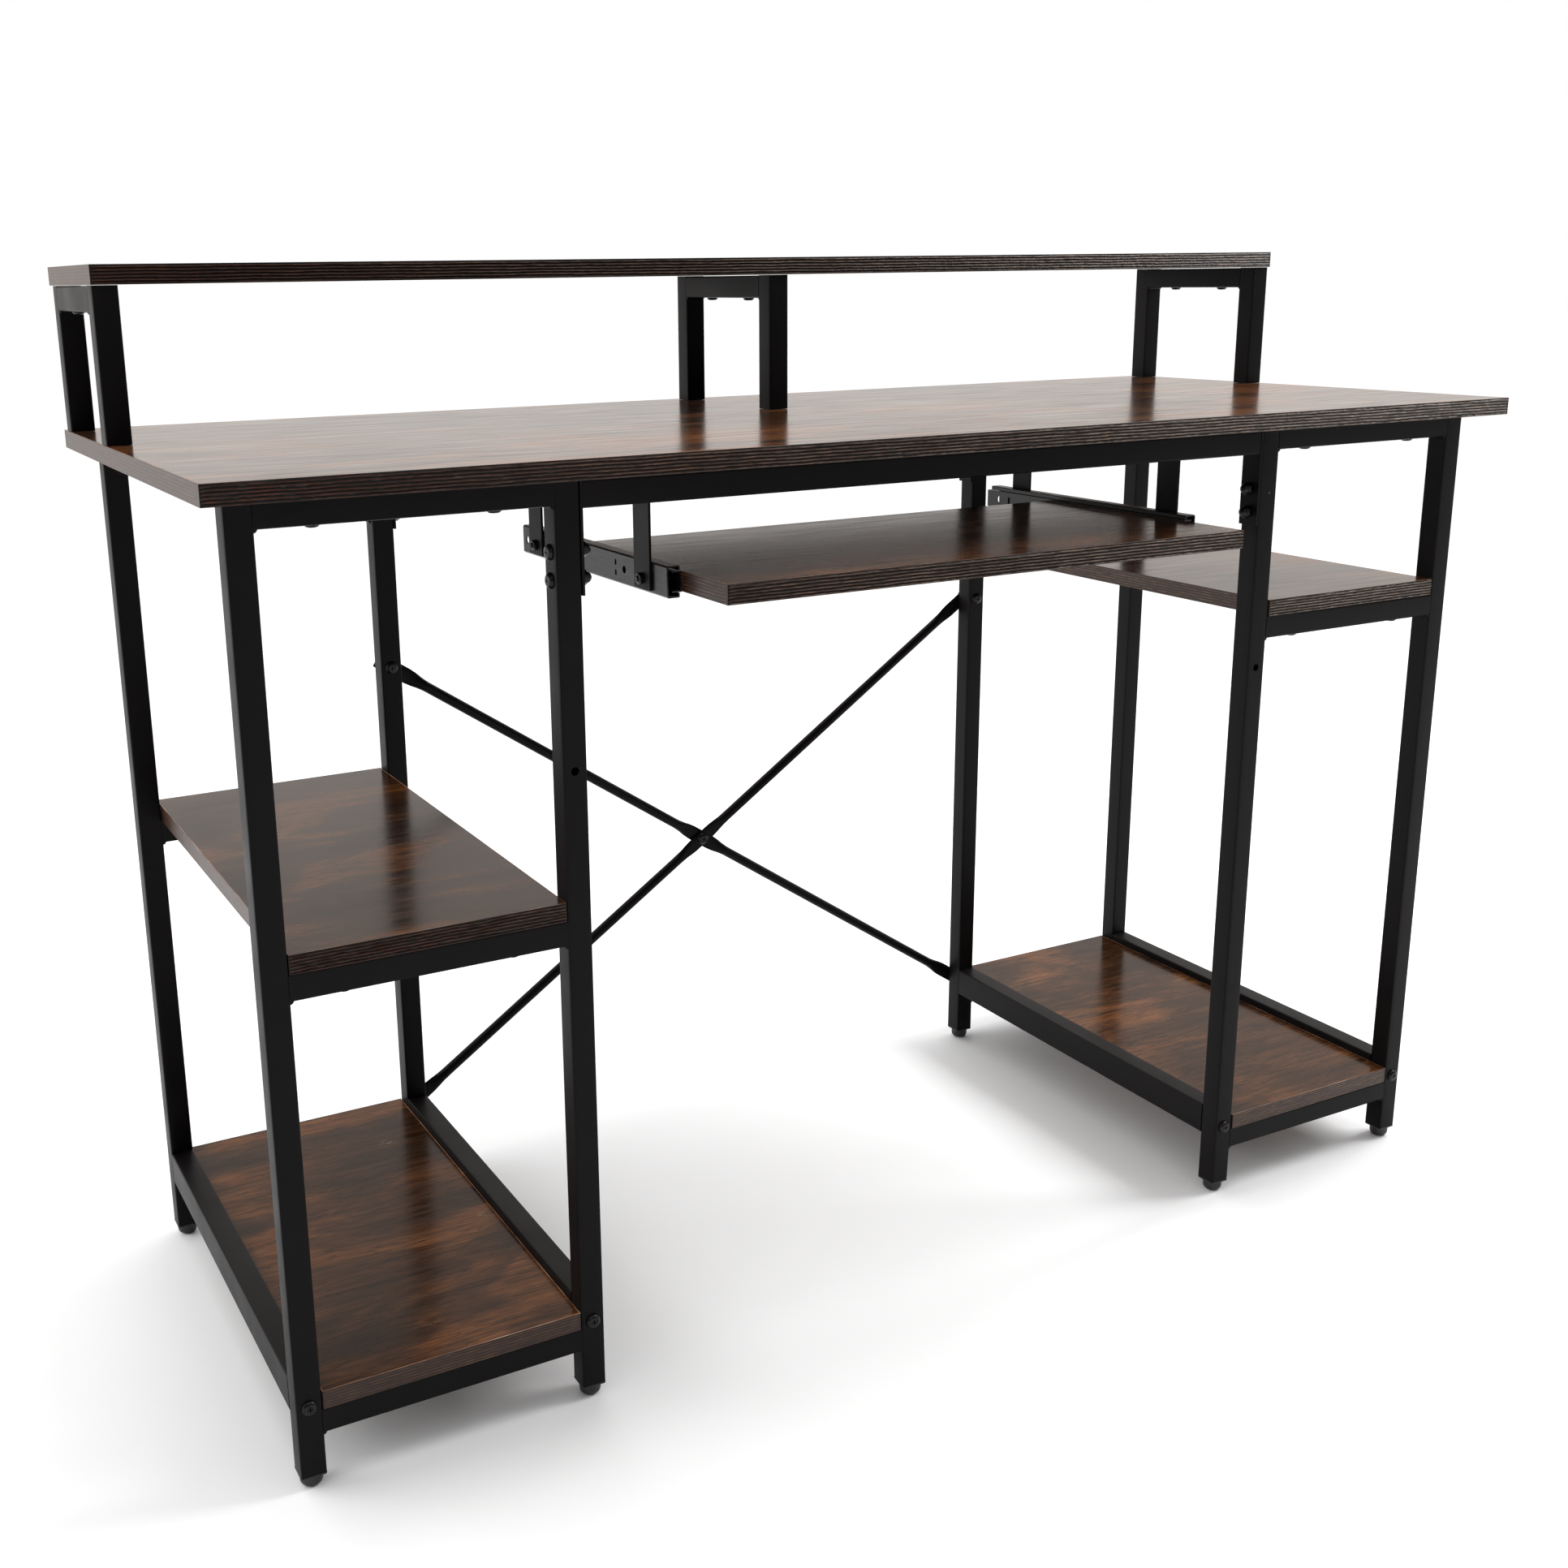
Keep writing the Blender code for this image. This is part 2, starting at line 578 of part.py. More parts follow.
def channel_outline(depth, height, sheet, lip):
    """A C section, open on the far side: web at x = 0, flanges, and lips turned in at their ends."""
    half = height / 2
    upper = [
        (sheet, half - sheet),
        (depth - sheet, half - sheet),
        (depth - sheet, half - sheet - lip),
        (depth, half - sheet - lip),
        (depth, half - sheet / 2),
        (depth - sheet / 2, half),
        (sheet, half),
        (0.0, half - sheet),
    ]
    lower = [(x, -y) for x, y in reversed(upper)]
    return upper + lower


def outer_slide(word, side):
    """Fixed member: a C channel that opens towards the tray."""
    y_middle = SLIDE_FRONT + SLIDE_LENGTH / 2
    outline = channel_outline(SLIDE_FLANGE, SLIDE_HEIGHT, SLIDE_SHEET, SLIDE_LIP)
    location = (side * SLIDE_OUTER_FACE, y_middle, SLIDE_MIDDLE_HEIGHT)
    name = f"slide_outer_{word}"
    slide = extruded(name, outline, SLIDE_LENGTH, slide_steel, location, slide_turn(side))
    web = side * (SLIDE_OUTER_FACE - SLIDE_SHEET / 2)
    through = SLIDE_SHEET * 4
    for y in STRAP_PLACES.values():
        drill(slide, (web, y, HANGER_BOLT_HEIGHT), "X", through, M5 + CLEARANCE)
    front_strap = STRAP_PLACES["front"]
    small_hole = (web, front_strap + SMALL_HOLE_PLACE, SLIDE_MIDDLE_HEIGHT)
    drill(slide, small_hole, "X", through, OUTER_SMALL_HOLE)
    rear_hole = (web, SLIDE_REAR - REAR_HOLE_EDGE, SLIDE_MIDDLE_HEIGHT)
    drill(slide, rear_hole, "X", through, OUTER_REAR_HOLE)
    for way in (-1, 1):
        slot_height = SLIDE_MIDDLE_HEIGHT + way * TWIN_SLOT_SPREAD
        middle = Vector((web, front_strap + TWIN_SLOT_PLACE, slot_height))
        half = Vector((through / 2, *TWIN_SLOT))
        cut(slide, bar(f"{name}_slot_{way + 2}", middle - half, middle + half, slide_steel))


def inner_slide(word, side):
    """Moving member, screwed to the edge of the tray. Its flanges point towards the outer member."""
    depth, half, sheet = INNER_FLANGE, INNER_HEIGHT / 2, SLIDE_SHEET
    outline = [
        (0.0, half),
        (0.0, half - sheet),
        (depth - sheet, half - sheet),
        (depth - sheet, sheet - half),
        (0.0, sheet - half),
        (0.0, -half),
        (depth, -half),
        (depth, half),
    ]
    y_middle = SLIDE_FRONT + INNER_LENGTH / 2
    x = side * (TRAY_LENGTH / 2 + CLEARANCE + depth)
    name = f"slide_inner_{word}"
    turn = slide_turn(side)
    slide = extruded(name, outline, INNER_LENGTH, slide_steel, (x, y_middle, SLIDE_MIDDLE_HEIGHT), turn)
    web = side * (TRAY_LENGTH / 2 + CLEARANCE + sheet / 2)
    tray_back = TRAY_FRONT + TRAY_DEPTH
    front_edge, rear_edge = TRAY_SCREW_EDGES
    screw_places = [SLIDE_FRONT + front_edge, (SLIDE_FRONT + tray_back) / 2, tray_back - rear_edge]
    for y in screw_places:
        drill(slide, (web, y, SLIDE_MIDDLE_HEIGHT), "X", sheet * 4, TRAY_SCREW_HOLE)
    rear_hole = (web, SLIDE_REAR - INNER_HOLE_EDGE, SLIDE_MIDDLE_HEIGHT)
    drill(slide, rear_hole, "X", sheet * 4, INNER_REAR_HOLE)
    middle = Vector((web, SLIDE_REAR - INNER_SLOT_EDGE, SLIDE_MIDDLE_HEIGHT))
    opening = Vector((sheet * 2, *INNER_SLOT))
    cut(slide, bar(f"{name}_slot", middle - opening, middle + opening, slide_steel))


def ball_cage(word, side):
    """A bent strip that keeps two rows of balls apart, between the two members of a slide."""
    ball_height = (INNER_HEIGHT / 2 + SLIDE_HEIGHT / 2 - SLIDE_SHEET) / 2
    web_x = SLIDE_THICKNESS - CLEARANCE - INNER_FLANGE - CAGE_SHEET - 0.0005
    ball_x = web_x + 0.0036
    depth, half, sheet = ball_x + 0.0023 - web_x, ball_height + CAGE_SHEET / 2, CAGE_SHEET
    outline = [
        (0.0, half),
        (0.0, -half),
        (depth, -half),
        (depth, sheet - half),
        (sheet, sheet - half),
        (sheet, half - sheet),
        (depth, half - sheet),
        (depth, half),
    ]
    y_front = SLIDE_FRONT + CAGE_SETBACK
    x = side * (SLIDE_OUTER_FACE - web_x)
    location = (x, y_front + CAGE_LENGTH / 2, SLIDE_MIDDLE_HEIGHT)
    name = f"ball_cage_{word}"
    cage = extruded(name, outline, CAGE_LENGTH, ball_steel, location, slide_turn(side))
    balls = bmesh.new()
    first = y_front + (CAGE_LENGTH - (BALLS_PER_ROW - 1) * BALL_SPACING) / 2
    for number in range(BALLS_PER_ROW):
        for way in (-1, 1):
            centre = (0.0, first + number * BALL_SPACING, way * ball_height)
            bmesh.ops.create_icosphere(
                balls, subdivisions=1, radius=BALL_RADIUS, matrix=Matrix.Translation(centre)
            )
    location = (side * (SLIDE_OUTER_FACE - ball_x), 0.0, SLIDE_MIDDLE_HEIGHT)
    weld(cage, place(name + "_balls", finished_mesh(name + "_balls", balls), ball_steel, location))


def strap(name, side, y):
    """A bent strip that hangs a slide from the desktop's underside."""
    x_inner = SLIDE_OUTER_FACE + CLEARANCE
    drop = LEG_TOP - STRAP_END_HEIGHT
    bend = STRAP * 0.6  # chamfer at the outside of the bend
    outline = [
        (0.0, 0.0),
        (-STRAP, 0.0),
        (-STRAP, drop - STRAP),
        (-STRAP_FLANGE, drop - STRAP),
        (-STRAP_FLANGE, drop),
        (-bend, drop),
        (0.0, drop - bend),
    ]
    location = (side * x_inner, y, STRAP_END_HEIGHT)
    hanger = extruded(name, outline, STRAP_WIDTH, steel, location, slide_turn(side))
    x_middle = side * (x_inner + STRAP / 2)
    drill(hanger, (x_middle, y, HANGER_BOLT_HEIGHT), "X", STRAP * 4, M5 + CLEARANCE)
    for way in (-1, 1):
        hole = (side * (x_inner + STRAP_FLANGE * 0.6), y + way * STRAP_WIDTH / 4, LEG_TOP)
        drill(hanger, hole, "Z", STRAP * 4, STRAP_SCREW_HOLE)


def build_tray():
    half = TRAY_LENGTH / 2
    board("keyboard_tray", (-half, half), (TRAY_FRONT, TRAY_FRONT + TRAY_DEPTH), TRAY_TOP, wood)
    for side, word in ((LEFT, "left"), (RIGHT, "right")):
        outer_slide(word, side)
        inner_slide(word, side)
        ball_cage(word, side)
        for row, y in STRAP_PLACES.items():
            strap(f"hanger_{row}_{word}", side, y)
            hanger_bolt(f"hanger_bolt_{row}_{word}", side, y)


# Fasteners


def pan_head(radius, height):
    """Profile of a pan head above a seat at height 0, from the top of its axis down to the seat."""
    shoulder = (radius * 0.88, height * 0.72)
    return [(0.0, height), (radius * 0.55, height), shoulder, (radius, height * 0.3), (radius, 0.0)]


def pan_bolt(name, seat, direction, length, head_radius=PAN_HEAD_RADIUS, shank=M6):
    """A pan-head bolt whose head stands on a seat and whose shank runs the other way."""
    direction = Vector(direction)
    profile = [*pan_head(head_radius, PAN_HEAD_HEIGHT), (shank, 0.0), (shank, -length), (0.0, -length)]
    return turned(name, profile, bolt_steel, Vector(seat) + direction * CLEARANCE, direction)


def nut(name, seat, direction, width, height, dome=0.0):
    """A hexagon nut on a seat, or a cap nut where it has a dome."""
    direction = Vector(direction)
    start = Vector(seat) + direction * CLEARANCE
    radius = width / math.sqrt(3)
    body = rod(name, start, start + direction * height, radius, bolt_steel, sides=6)
    if dome:
        cap = width * 0.45
        profile = [
            (cap * math.sin(angle), height + dome * math.cos(angle))
            for angle in [math.pi / 2 * step / 4 for step in range(5)]
        ]
        profile += [(cap, height * 0.4), (0.0, height * 0.4)]
        weld(body, turned(name + "_cap", profile, bolt_steel, start, direction, sides=12))
    return body


def hanger_bolt(name, side, y):
    """A flat-headed bolt from inside the slide, through the strap, with its nut outside."""
    outward = Vector((side, 0, 0))
    seat = Vector((side * (SLIDE_OUTER_FACE - SLIDE_SHEET), y, HANGER_BOLT_HEIGHT))
    length = SLIDE_SHEET + STRAP + HANGER_BOLT_REACH
    edge = FLAT_HEAD_RADIUS - CLEARANCE
    profile = [(0.0, FLAT_HEAD_HEIGHT), (edge, FLAT_HEAD_HEIGHT), (FLAT_HEAD_RADIUS, 0.0)]
    profile += [(M5, 0.0), (M5, -length), (0.0, -length)]
    bolt = turned(name, profile, bolt_steel, seat - outward * CLEARANCE, -outward)
    strap_face = Vector((side * (SLIDE_OUTER_FACE + CLEARANCE + STRAP), y, HANGER_BOLT_HEIGHT))
    weld(bolt, nut(name + "_nut", strap_face, outward, M5_NUT_WIDTH, M5_NUT_HEIGHT))


def brace_nut(name, seat):
    return nut(name, seat, (0, 1, 0), M6_NUT_WIDTH, M6_NUT_HEIGHT)


def build_fasteners():
    grip = TUBE + SIDE_RAIL_CAP + LEG_BOLT_GRIP
    brace_stack = BRACE_FLAT + 2 * CLEARANCE
    inner, outer = INNER_LEG_MIDDLE, PEDESTAL_OUTER - TUBE / 2
    for side, word in ((LEFT, "left"), (RIGHT, "right")):
        for which, x in (("outer", outer), ("inner", inner)):
            seat = (side * x, FRONT_LEG_FACE, SIDE_BOLT_HEIGHT)
            pan_bolt(f"leg_bolt_front_{word}_{which}", seat, (0, -1, 0), grip)
        seat = (side * outer, REAR_LEG_FACE, SIDE_BOLT_HEIGHT)
        pan_bolt(f"leg_bolt_rear_{word}_outer", seat, (0, 1, 0), grip)
        # The brace's lower end is held under the head of this one.
        seat = (side * inner, REAR_LEG_FACE + brace_stack, SIDE_BOLT_HEIGHT)
        pan_bolt(f"leg_bolt_rear_{word}_inner", seat, (0, 1, 0), grip + brace_stack)
        seat = Vector((side * inner, REAR_LEG_FACE - TUBE, BRACE_BOLT_HEIGHT))
        bolt = pan_bolt(f"brace_bolt_{word}", seat, (0, -1, 0), TUBE + brace_stack + NUT_REACH)
        nut_seat = seat + Vector((0, TUBE + brace_stack - CLEARANCE, 0))
        weld(bolt, brace_nut(f"brace_bolt_{word}_nut", nut_seat))
        for level, z in zip(("lower", "upper"), PLATE_BOLT_HEIGHTS):
            seat = Vector((side * (PEDESTAL_INNER + TUBE), FRONT_LEG_FACE + TUBE / 2, z))
            stack = TUBE + END_PLATE + CLEARANCE
            name = f"plate_bolt_{word}_{level}"
            bolt = pan_bolt(name, seat, (side, 0, 0), stack + CAP_NUT_REACH)
            nut_seat = seat - Vector((side * stack, 0, 0))
            inward = (-side, 0, 0)
            cap = nut(name + "_nut", nut_seat, inward, M6_NUT_WIDTH, CAP_NUT_HEIGHT, CAP_NUT_DOME)
            weld(bolt, cap)
    centre_height = (SIDE_BOLT_HEIGHT + BRACE_BOLT_HEIGHT) / 2
    pressed = BRACE_FLAT + CLEARANCE / 2
    middle_y = REAR_LEG_FACE + CLEARANCE + BRACE_FLAT / 2
    seat = Vector((0, middle_y - pressed, centre_height))
    bolt = pan_bolt("brace_centre_bolt", seat, (0, -1, 0), 2 * pressed + NUT_REACH)
    nut_seat = seat + Vector((0, 2 * pressed, 0))
    weld(bolt, brace_nut("brace_centre_bolt_nut", nut_seat))


clear_scene()
desk = new_collection("Computer_Desk")
helpers = new_collection("Cutters")
wood = new_material("Rustic_Board", "#3B2419", 0.35)
steel = new_material("Black_Powder_Coat", "#1A1819", 0.45)
slide_steel = new_material("Black_Slide_Steel", "#171617", 0.35)
ball_steel = new_material("Bright_Ball_Steel", "#B8B8B6", 0.20, 1.0)
bolt_steel = new_material("Black_Bolt_Steel", "#1F1E20", 0.30, 0.6)
plastic = new_material("Black_Foot_Plastic", "#111112", 0.50)

build_boards()
build_frames()
build_feet()
brace("brace_left_to_right", LEFT, -1)
brace("brace_right_to_left", RIGHT, 1)
build_tray()
build_fasteners()
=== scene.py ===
import math

import bmesh
import bpy
from mathutils import Matrix, Vector


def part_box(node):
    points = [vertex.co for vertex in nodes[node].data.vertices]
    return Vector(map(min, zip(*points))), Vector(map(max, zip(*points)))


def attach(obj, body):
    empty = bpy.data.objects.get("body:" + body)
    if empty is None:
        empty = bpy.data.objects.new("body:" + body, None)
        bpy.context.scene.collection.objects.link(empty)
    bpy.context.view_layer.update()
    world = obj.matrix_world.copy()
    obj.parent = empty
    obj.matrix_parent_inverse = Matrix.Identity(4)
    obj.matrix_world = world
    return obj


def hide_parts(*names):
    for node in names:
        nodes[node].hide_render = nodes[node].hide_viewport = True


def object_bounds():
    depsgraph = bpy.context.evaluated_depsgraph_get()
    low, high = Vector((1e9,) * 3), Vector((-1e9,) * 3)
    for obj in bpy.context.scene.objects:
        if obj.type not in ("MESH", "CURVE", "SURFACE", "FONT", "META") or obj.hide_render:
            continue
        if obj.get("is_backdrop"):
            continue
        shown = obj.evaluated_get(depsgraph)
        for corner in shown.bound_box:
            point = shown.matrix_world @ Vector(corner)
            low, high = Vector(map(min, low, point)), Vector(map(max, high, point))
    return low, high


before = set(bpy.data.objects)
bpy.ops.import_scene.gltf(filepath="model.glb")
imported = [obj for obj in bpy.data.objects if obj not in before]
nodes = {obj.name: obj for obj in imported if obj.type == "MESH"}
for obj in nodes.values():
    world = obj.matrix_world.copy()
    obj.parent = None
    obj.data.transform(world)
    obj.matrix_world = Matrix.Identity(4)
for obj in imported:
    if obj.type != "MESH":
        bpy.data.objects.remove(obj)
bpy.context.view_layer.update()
print("frame loaded:", len(nodes), "solids")

stock = {"tube": 0.020, "gap": 0.0003}  # square tube, and the clearance between touching pieces
sides = ((-1, "left"), (1, "right"))


def linearColour(hexColour):  # sRGB hex to the linear values that Blender wants
    channels = [int(hexColour[i:i + 2], 16) / 255 for i in (1, 3, 5)]
    linear = [c / 12.92 if c <= 0.04045 else ((c + 0.055) / 1.055) ** 2.4 for c in channels]
    return (*linear, 1.0)


# inputs take a value, a socket, or a node for its first output; stops fill a colour ramp
def addNode(tree, kind, inputs=None, stops=None, **settings):
    node = tree.nodes.new("ShaderNode" + kind)
    for key, value in settings.items():
        setattr(node, key, value)
    for key, value in (inputs or {}).items():
        if isinstance(value, bpy.types.Node):
            value = value.outputs[0]
        if isinstance(value, bpy.types.NodeSocket):
            tree.links.new(value, node.inputs[key])
        else:
            node.inputs[key].default_value = value
    if stops:
        ramp = node.color_ramp.elements
        ramp.remove(ramp[-1])
        ramp[0].position, ramp[0].color = stops[0][0], linearColour(stops[0][1])
        for place, colour in stops[1:]:
            ramp.new(place).color = linearColour(colour)
    return node


def startMaterial(name, **shaderValues):
    material = bpy.data.materials.new(name)
    material.use_nodes = True
    tree = material.node_tree
    shader = tree.nodes["Principled BSDF"]
    for key, value in shaderValues.items():
        shader.inputs[key].default_value = value
    coords = addNode(tree, "TexCoord")
    return material, tree, shader, coords.outputs["Object"]


# size is one blotch, in metres along x, y and z
def grainNoise(tree, coords, size, detail=3.0, roughness=0.55, distortion=0.0):
    spread = addNode(tree, "Mapping", {"Vector": coords, "Scale": [1 / s for s in size]})
    settings = {"Scale": 1.0, "Detail": detail, "Roughness": roughness, "Distortion": distortion}
    return addNode(tree, "TexNoise", {"Vector": spread, **settings})


def linkGloss(tree, shader, pattern, roughness):  # roughness follows a noise between two values
    spread = {"From Min": 0.3, "From Max": 0.7, "To Min": roughness[0], "To Max": roughness[1]}
    gloss = addNode(tree, "MapRange", {"Value": pattern, **spread})
    tree.links.new(gloss.outputs[0], shader.inputs["Roughness"])


def linkBump(tree, shader, pattern, strength, distance):
    bump = addNode(tree, "Bump", {"Height": pattern, "Strength": strength, "Distance": distance})
    tree.links.new(bump.outputs[0], shader.inputs["Normal"])


def deselectAll():
    if bpy.context.mode != "OBJECT":
        bpy.ops.object.mode_set(mode="OBJECT")
    for thing in bpy.context.selected_objects:
        thing.select_set(False)


def pickOnly(thing):
    deselectAll()
    thing.select_set(True)
    bpy.context.view_layer.objects.active = thing


def selectEdges(thing, wanted):  # edit mode on, with just the edges that pass the test selected
    pickOnly(thing)
    bpy.ops.object.mode_set(mode="EDIT")
    bpy.ops.mesh.select_mode(type="EDGE")
    bpy.ops.mesh.select_all(action="DESELECT")
    shape = bmesh.from_edit_mesh(thing.data)
    for edge in shape.edges:
        edge.select_set(bool(wanted(edge)))
    bmesh.update_edit_mesh(thing.data)


def bevelEdges(thing, wanted, **settings):
    selectEdges(thing, wanted)
    bpy.ops.mesh.bevel(**settings)
    bpy.ops.object.mode_set(mode="OBJECT")


def rise(edge):  # how far an edge climbs
    return abs(edge.verts[0].co.z - edge.verts[1].co.z)


def applyModifier(thing, kind, **settings):
    pickOnly(thing)
    modifier = thing.modifiers.new(kind.title(), kind)
    for key, value in settings.items():
        setattr(modifier, key, value)
    bpy.ops.object.modifier_apply(modifier=modifier.name)


def applyPlace():
    bpy.ops.object.transform_apply(location=True, rotation=True, scale=True)


def smoothFaces(thing, degrees):
    pickOnly(thing)
    bpy.ops.object.shade_smooth_by_angle(angle=math.radians(degrees))


def finishPiece(piece, name, material, body="desk", replaced=()):
    pickOnly(piece)
    applyPlace()
    piece.name = piece.data.name = name
    if not piece.data.materials:
        piece.data.materials.append(material)
    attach(piece, body)
    if replaced:
        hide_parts(*replaced)


def meshCopy(master, name):
    piece = bpy.data.objects.new(name, master.data.copy())
    bpy.context.scene.collection.objects.link(piece)
    return piece


def placedCopy(master, seat, direction, scale=1.0):  # a master stands on the origin, pointing up
    piece = meshCopy(master, master.name)
    turn = Vector(direction).to_track_quat("Z", "Y").to_matrix().to_4x4()
    piece.data.transform(Matrix.Translation(Vector(seat)) @ turn @ Matrix.Scale(scale, 4))
    return piece


def joined(parts):
    pickOnly(parts[0])
    for part in parts[1:]:
        part.select_set(True)
    if len(parts) > 1:
        bpy.ops.object.join()
    return parts[0]


# Melamine-faced particle board with a reclaimed-wood print: satin, so it mirrors the legs softly.
laminateLook = {
    "patch": (0.20, 0.085, 0.085),       # rust and grey-brown clouds
    "streak": (0.10, 0.0075, 0.0075),
    "fibre": (0.022, 0.0016, 0.0016),    # drawn coarser than the print's real fibres, so it shows
    "crackSize": (0.13, 0.012, 0.012),
    "tones": [(0.30, "#24170E"), (0.41, "#3C2718"), (0.50, "#4E321F"),
              (0.60, "#784B29"), (0.68, "#664127"), (0.76, "#4C3728")],
    "streakTones": [(0.28, "#8D847D"), (0.48, "#DDD7D0"), (0.68, "#FFFFFF")],
    "fibreTones": [(0.32, "#968C84"), (0.60, "#FFFFFF")],
    "crackTones": [(0.475, "#FFFFFF"), (0.497, "#6E625A"), (0.503, "#6E625A"), (0.525, "#FFFFFF")],
    "shares": (0.85, 0.65, 0.60),        # how strongly streaks, fibres and cracks darken
    "starEvery": 0.12,                   # metres between the small pale chips in the print
    "starSize": (0.006, 0.004, 0.004),
    "starPush": 0.012,
    "starColour": "#A8917A",
    "gloss": (0.15, 0.25),
    "specular": 0.12,
    "sheen": "#FFE9DA",                  # the clear coat warms what it mirrors
}


def makeLaminate(name, look):
    material, tree, shader, coords = startMaterial(name)
    shader.inputs["Specular IOR Level"].default_value = look["specular"]
    shader.inputs["Specular Tint"].default_value = linearColour(look["sheen"])
    patch = grainNoise(tree, coords, look["patch"], 4.0, 0.62, 0.5)
    streak = grainNoise(tree, coords, look["streak"], 4.0, 0.65, 0.15)
    fibre = grainNoise(tree, coords, look["fibre"], 2.0, 0.6)
    crack = grainNoise(tree, coords, look["crackSize"], 3.0, 0.6, 0.7)
    colour = addNode(tree, "ValToRGB", {"Fac": patch}, look["tones"])
    tones = (look["streakTones"], look["fibreTones"], look["crackTones"])
    for pattern, stops, share in zip((streak, fibre, crack), tones, look["shares"]):
        layer = addNode(tree, "ValToRGB", {"Fac": pattern}, stops)
        mix = {"Fac": share, "Color1": colour, "Color2": layer}
        colour = addNode(tree, "MixRGB", mix, blend_type="MULTIPLY")
    # pale star-like chips: the cell centres of a coarse Voronoi, broken up by finer noise
    wobble = grainNoise(tree, coords, look["starSize"], 2.0)
    scaled = {0: wobble.outputs["Color"], "Scale": look["starPush"]}
    push = addNode(tree, "VectorMath", scaled, operation="SCALE")
    pushed = addNode(tree, "VectorMath", {0: coords, 1: push}, operation="ADD")
    star = addNode(tree, "TexVoronoi", {"Vector": pushed, "Scale": 1 / look["starEvery"]})
    stops = [(0.0, "#B0B0B0"), (0.055, "#404040"), (0.095, "#000000")]
    starMask = addNode(tree, "ValToRGB", {"Fac": star}, stops)
    starBreak = addNode(tree, "ValToRGB", {"Fac": wobble}, [(0.47, "#000000"), (0.60, "#FFFFFF")])
    mix = {"Fac": 1.0, "Color1": starMask, "Color2": starBreak}
    starFac = addNode(tree, "MixRGB", mix, blend_type="MULTIPLY")
    mix = {"Fac": starFac, "Color1": colour, "Color2": linearColour(look["starColour"])}
    colour = addNode(tree, "MixRGB", mix)
    tree.links.new(colour.outputs[0], shader.inputs["Base Color"])
    linkGloss(tree, shader, streak, look["gloss"])
    relief = addNode(tree, "Math", {0: fibre, 1: streak}, operation="ADD")
    linkBump(tree, shader, relief, 0.10, 0.00012)
    return material


# Embossed ABS edge band: printed brown, with painted shade in its grooves and a painted highlight
# on the tops of its ridges.
bandLook = {
    "grooveShade": "#0E0806",
    "crestHighlight": "#A28D7C",
    "warmer": "#573120",            # the crests' brown at the left end, where the painted highlight has faded out
    "warmEnds": (-0.50, 0.45),      # from all brown to nearly all painted highlight, along the desk
    "leastWarm": 0.08,
    "blotch": (0.06, 0.02, 0.004),
    "dash": (0.012, 0.01, 0.0011),
    "toneBlend": (0.52, 0.80),           # from the grooves' painted shade to the crests' painted highlight, as a share of the ridges' height
    "share": 0.7,
    "roughness": 0.36,
    "specular": 0.22,
}


def makeBand(name, look):
    material, tree, shader, coords = startMaterial(name, Roughness=look["roughness"])
    shader.inputs["Specular IOR Level"].default_value = look["specular"]
    height = addNode(tree, "Attribute", attribute_name="ridgeHeight")
    blotch = grainNoise(tree, coords, look["blotch"], 3.0)
    dash = grainNoise(tree, coords, look["dash"], 2.0)
    split = addNode(tree, "SeparateXYZ", {"Vector": coords})
    # the crests take a painted highlight that grows towards the right end of each band and fades to
    # brown at the left
    start, end = look["warmEnds"]
    spread = {"From Min": start, "From Max": end, "To Min": 1.0, "To Max": look["leastWarm"]}
    warm = addNode(tree, "MapRange", {"Value": split.outputs["X"], **spread})
    ends = {"Color1": linearColour(look["crestHighlight"]), "Color2": linearColour(look["warmer"])}
    crest = addNode(tree, "MixRGB", {"Fac": warm, **ends})
    layers = (
        (blotch, [(0.3, "#6F645C"), (0.65, "#FFFFFF")]),
        (dash, [(0.38, "#5A504A"), (0.60, "#FFFFFF")]),
    )
    for pattern, stops in layers:
        layer = addNode(tree, "ValToRGB", {"Fac": pattern}, stops)
        mix = {"Fac": look["share"], "Color1": crest, "Color2": layer}
        crest = addNode(tree, "MixRGB", mix, blend_type="MULTIPLY")
    # near-black painted shade down in the grooves, and the crest colour with its painted highlight
    # on the ridges' tops
    toneBlend = {"From Min": look["toneBlend"][0], "From Max": look["toneBlend"][1]}
    crestRise = addNode(tree, "MapRange", {"Value": height.outputs["Fac"], **toneBlend})
    mix = {"Fac": crestRise, "Color1": linearColour(look["grooveShade"]), "Color2": crest}
    colour = addNode(tree, "MixRGB", mix)
    tree.links.new(colour.outputs[0], shader.inputs["Base Color"])
    linkBump(tree, shader, dash, 0.25, 0.0003)
    return material


# The cut edge of the same band is unprinted ABS: a thin pale line round each board.
def makeBandCore(name):
    material, tree, shader, coords = startMaterial(name, Roughness=0.45)
    toneBlend = grainNoise(tree, coords, (0.03, 0.03, 0.03), 3.0)
    stops = [(0.35, "#5E3A28"), (0.55, "#96684A"), (0.72, "#B79A7E")]
    colour = addNode(tree, "ValToRGB", {"Fac": toneBlend}, stops)
    tree.links.new(colour.outputs[0], shader.inputs["Base Color"])
    return material


# Steel tube with a baked satin powder coat: near black, with a fine orange-peel skin and a soft
# broad gloss.
coatLook = {
    "dark": "#0A0809", "light": "#100D0D", "cloud": 0.05,
    "peel": 0.0012, "roughness": (0.38, 0.48), "specular": 0.09,
    "chipEvery": 0.085, "chipSize": (0.006, 0.009), "chipColour": "#B9B4AE",
}


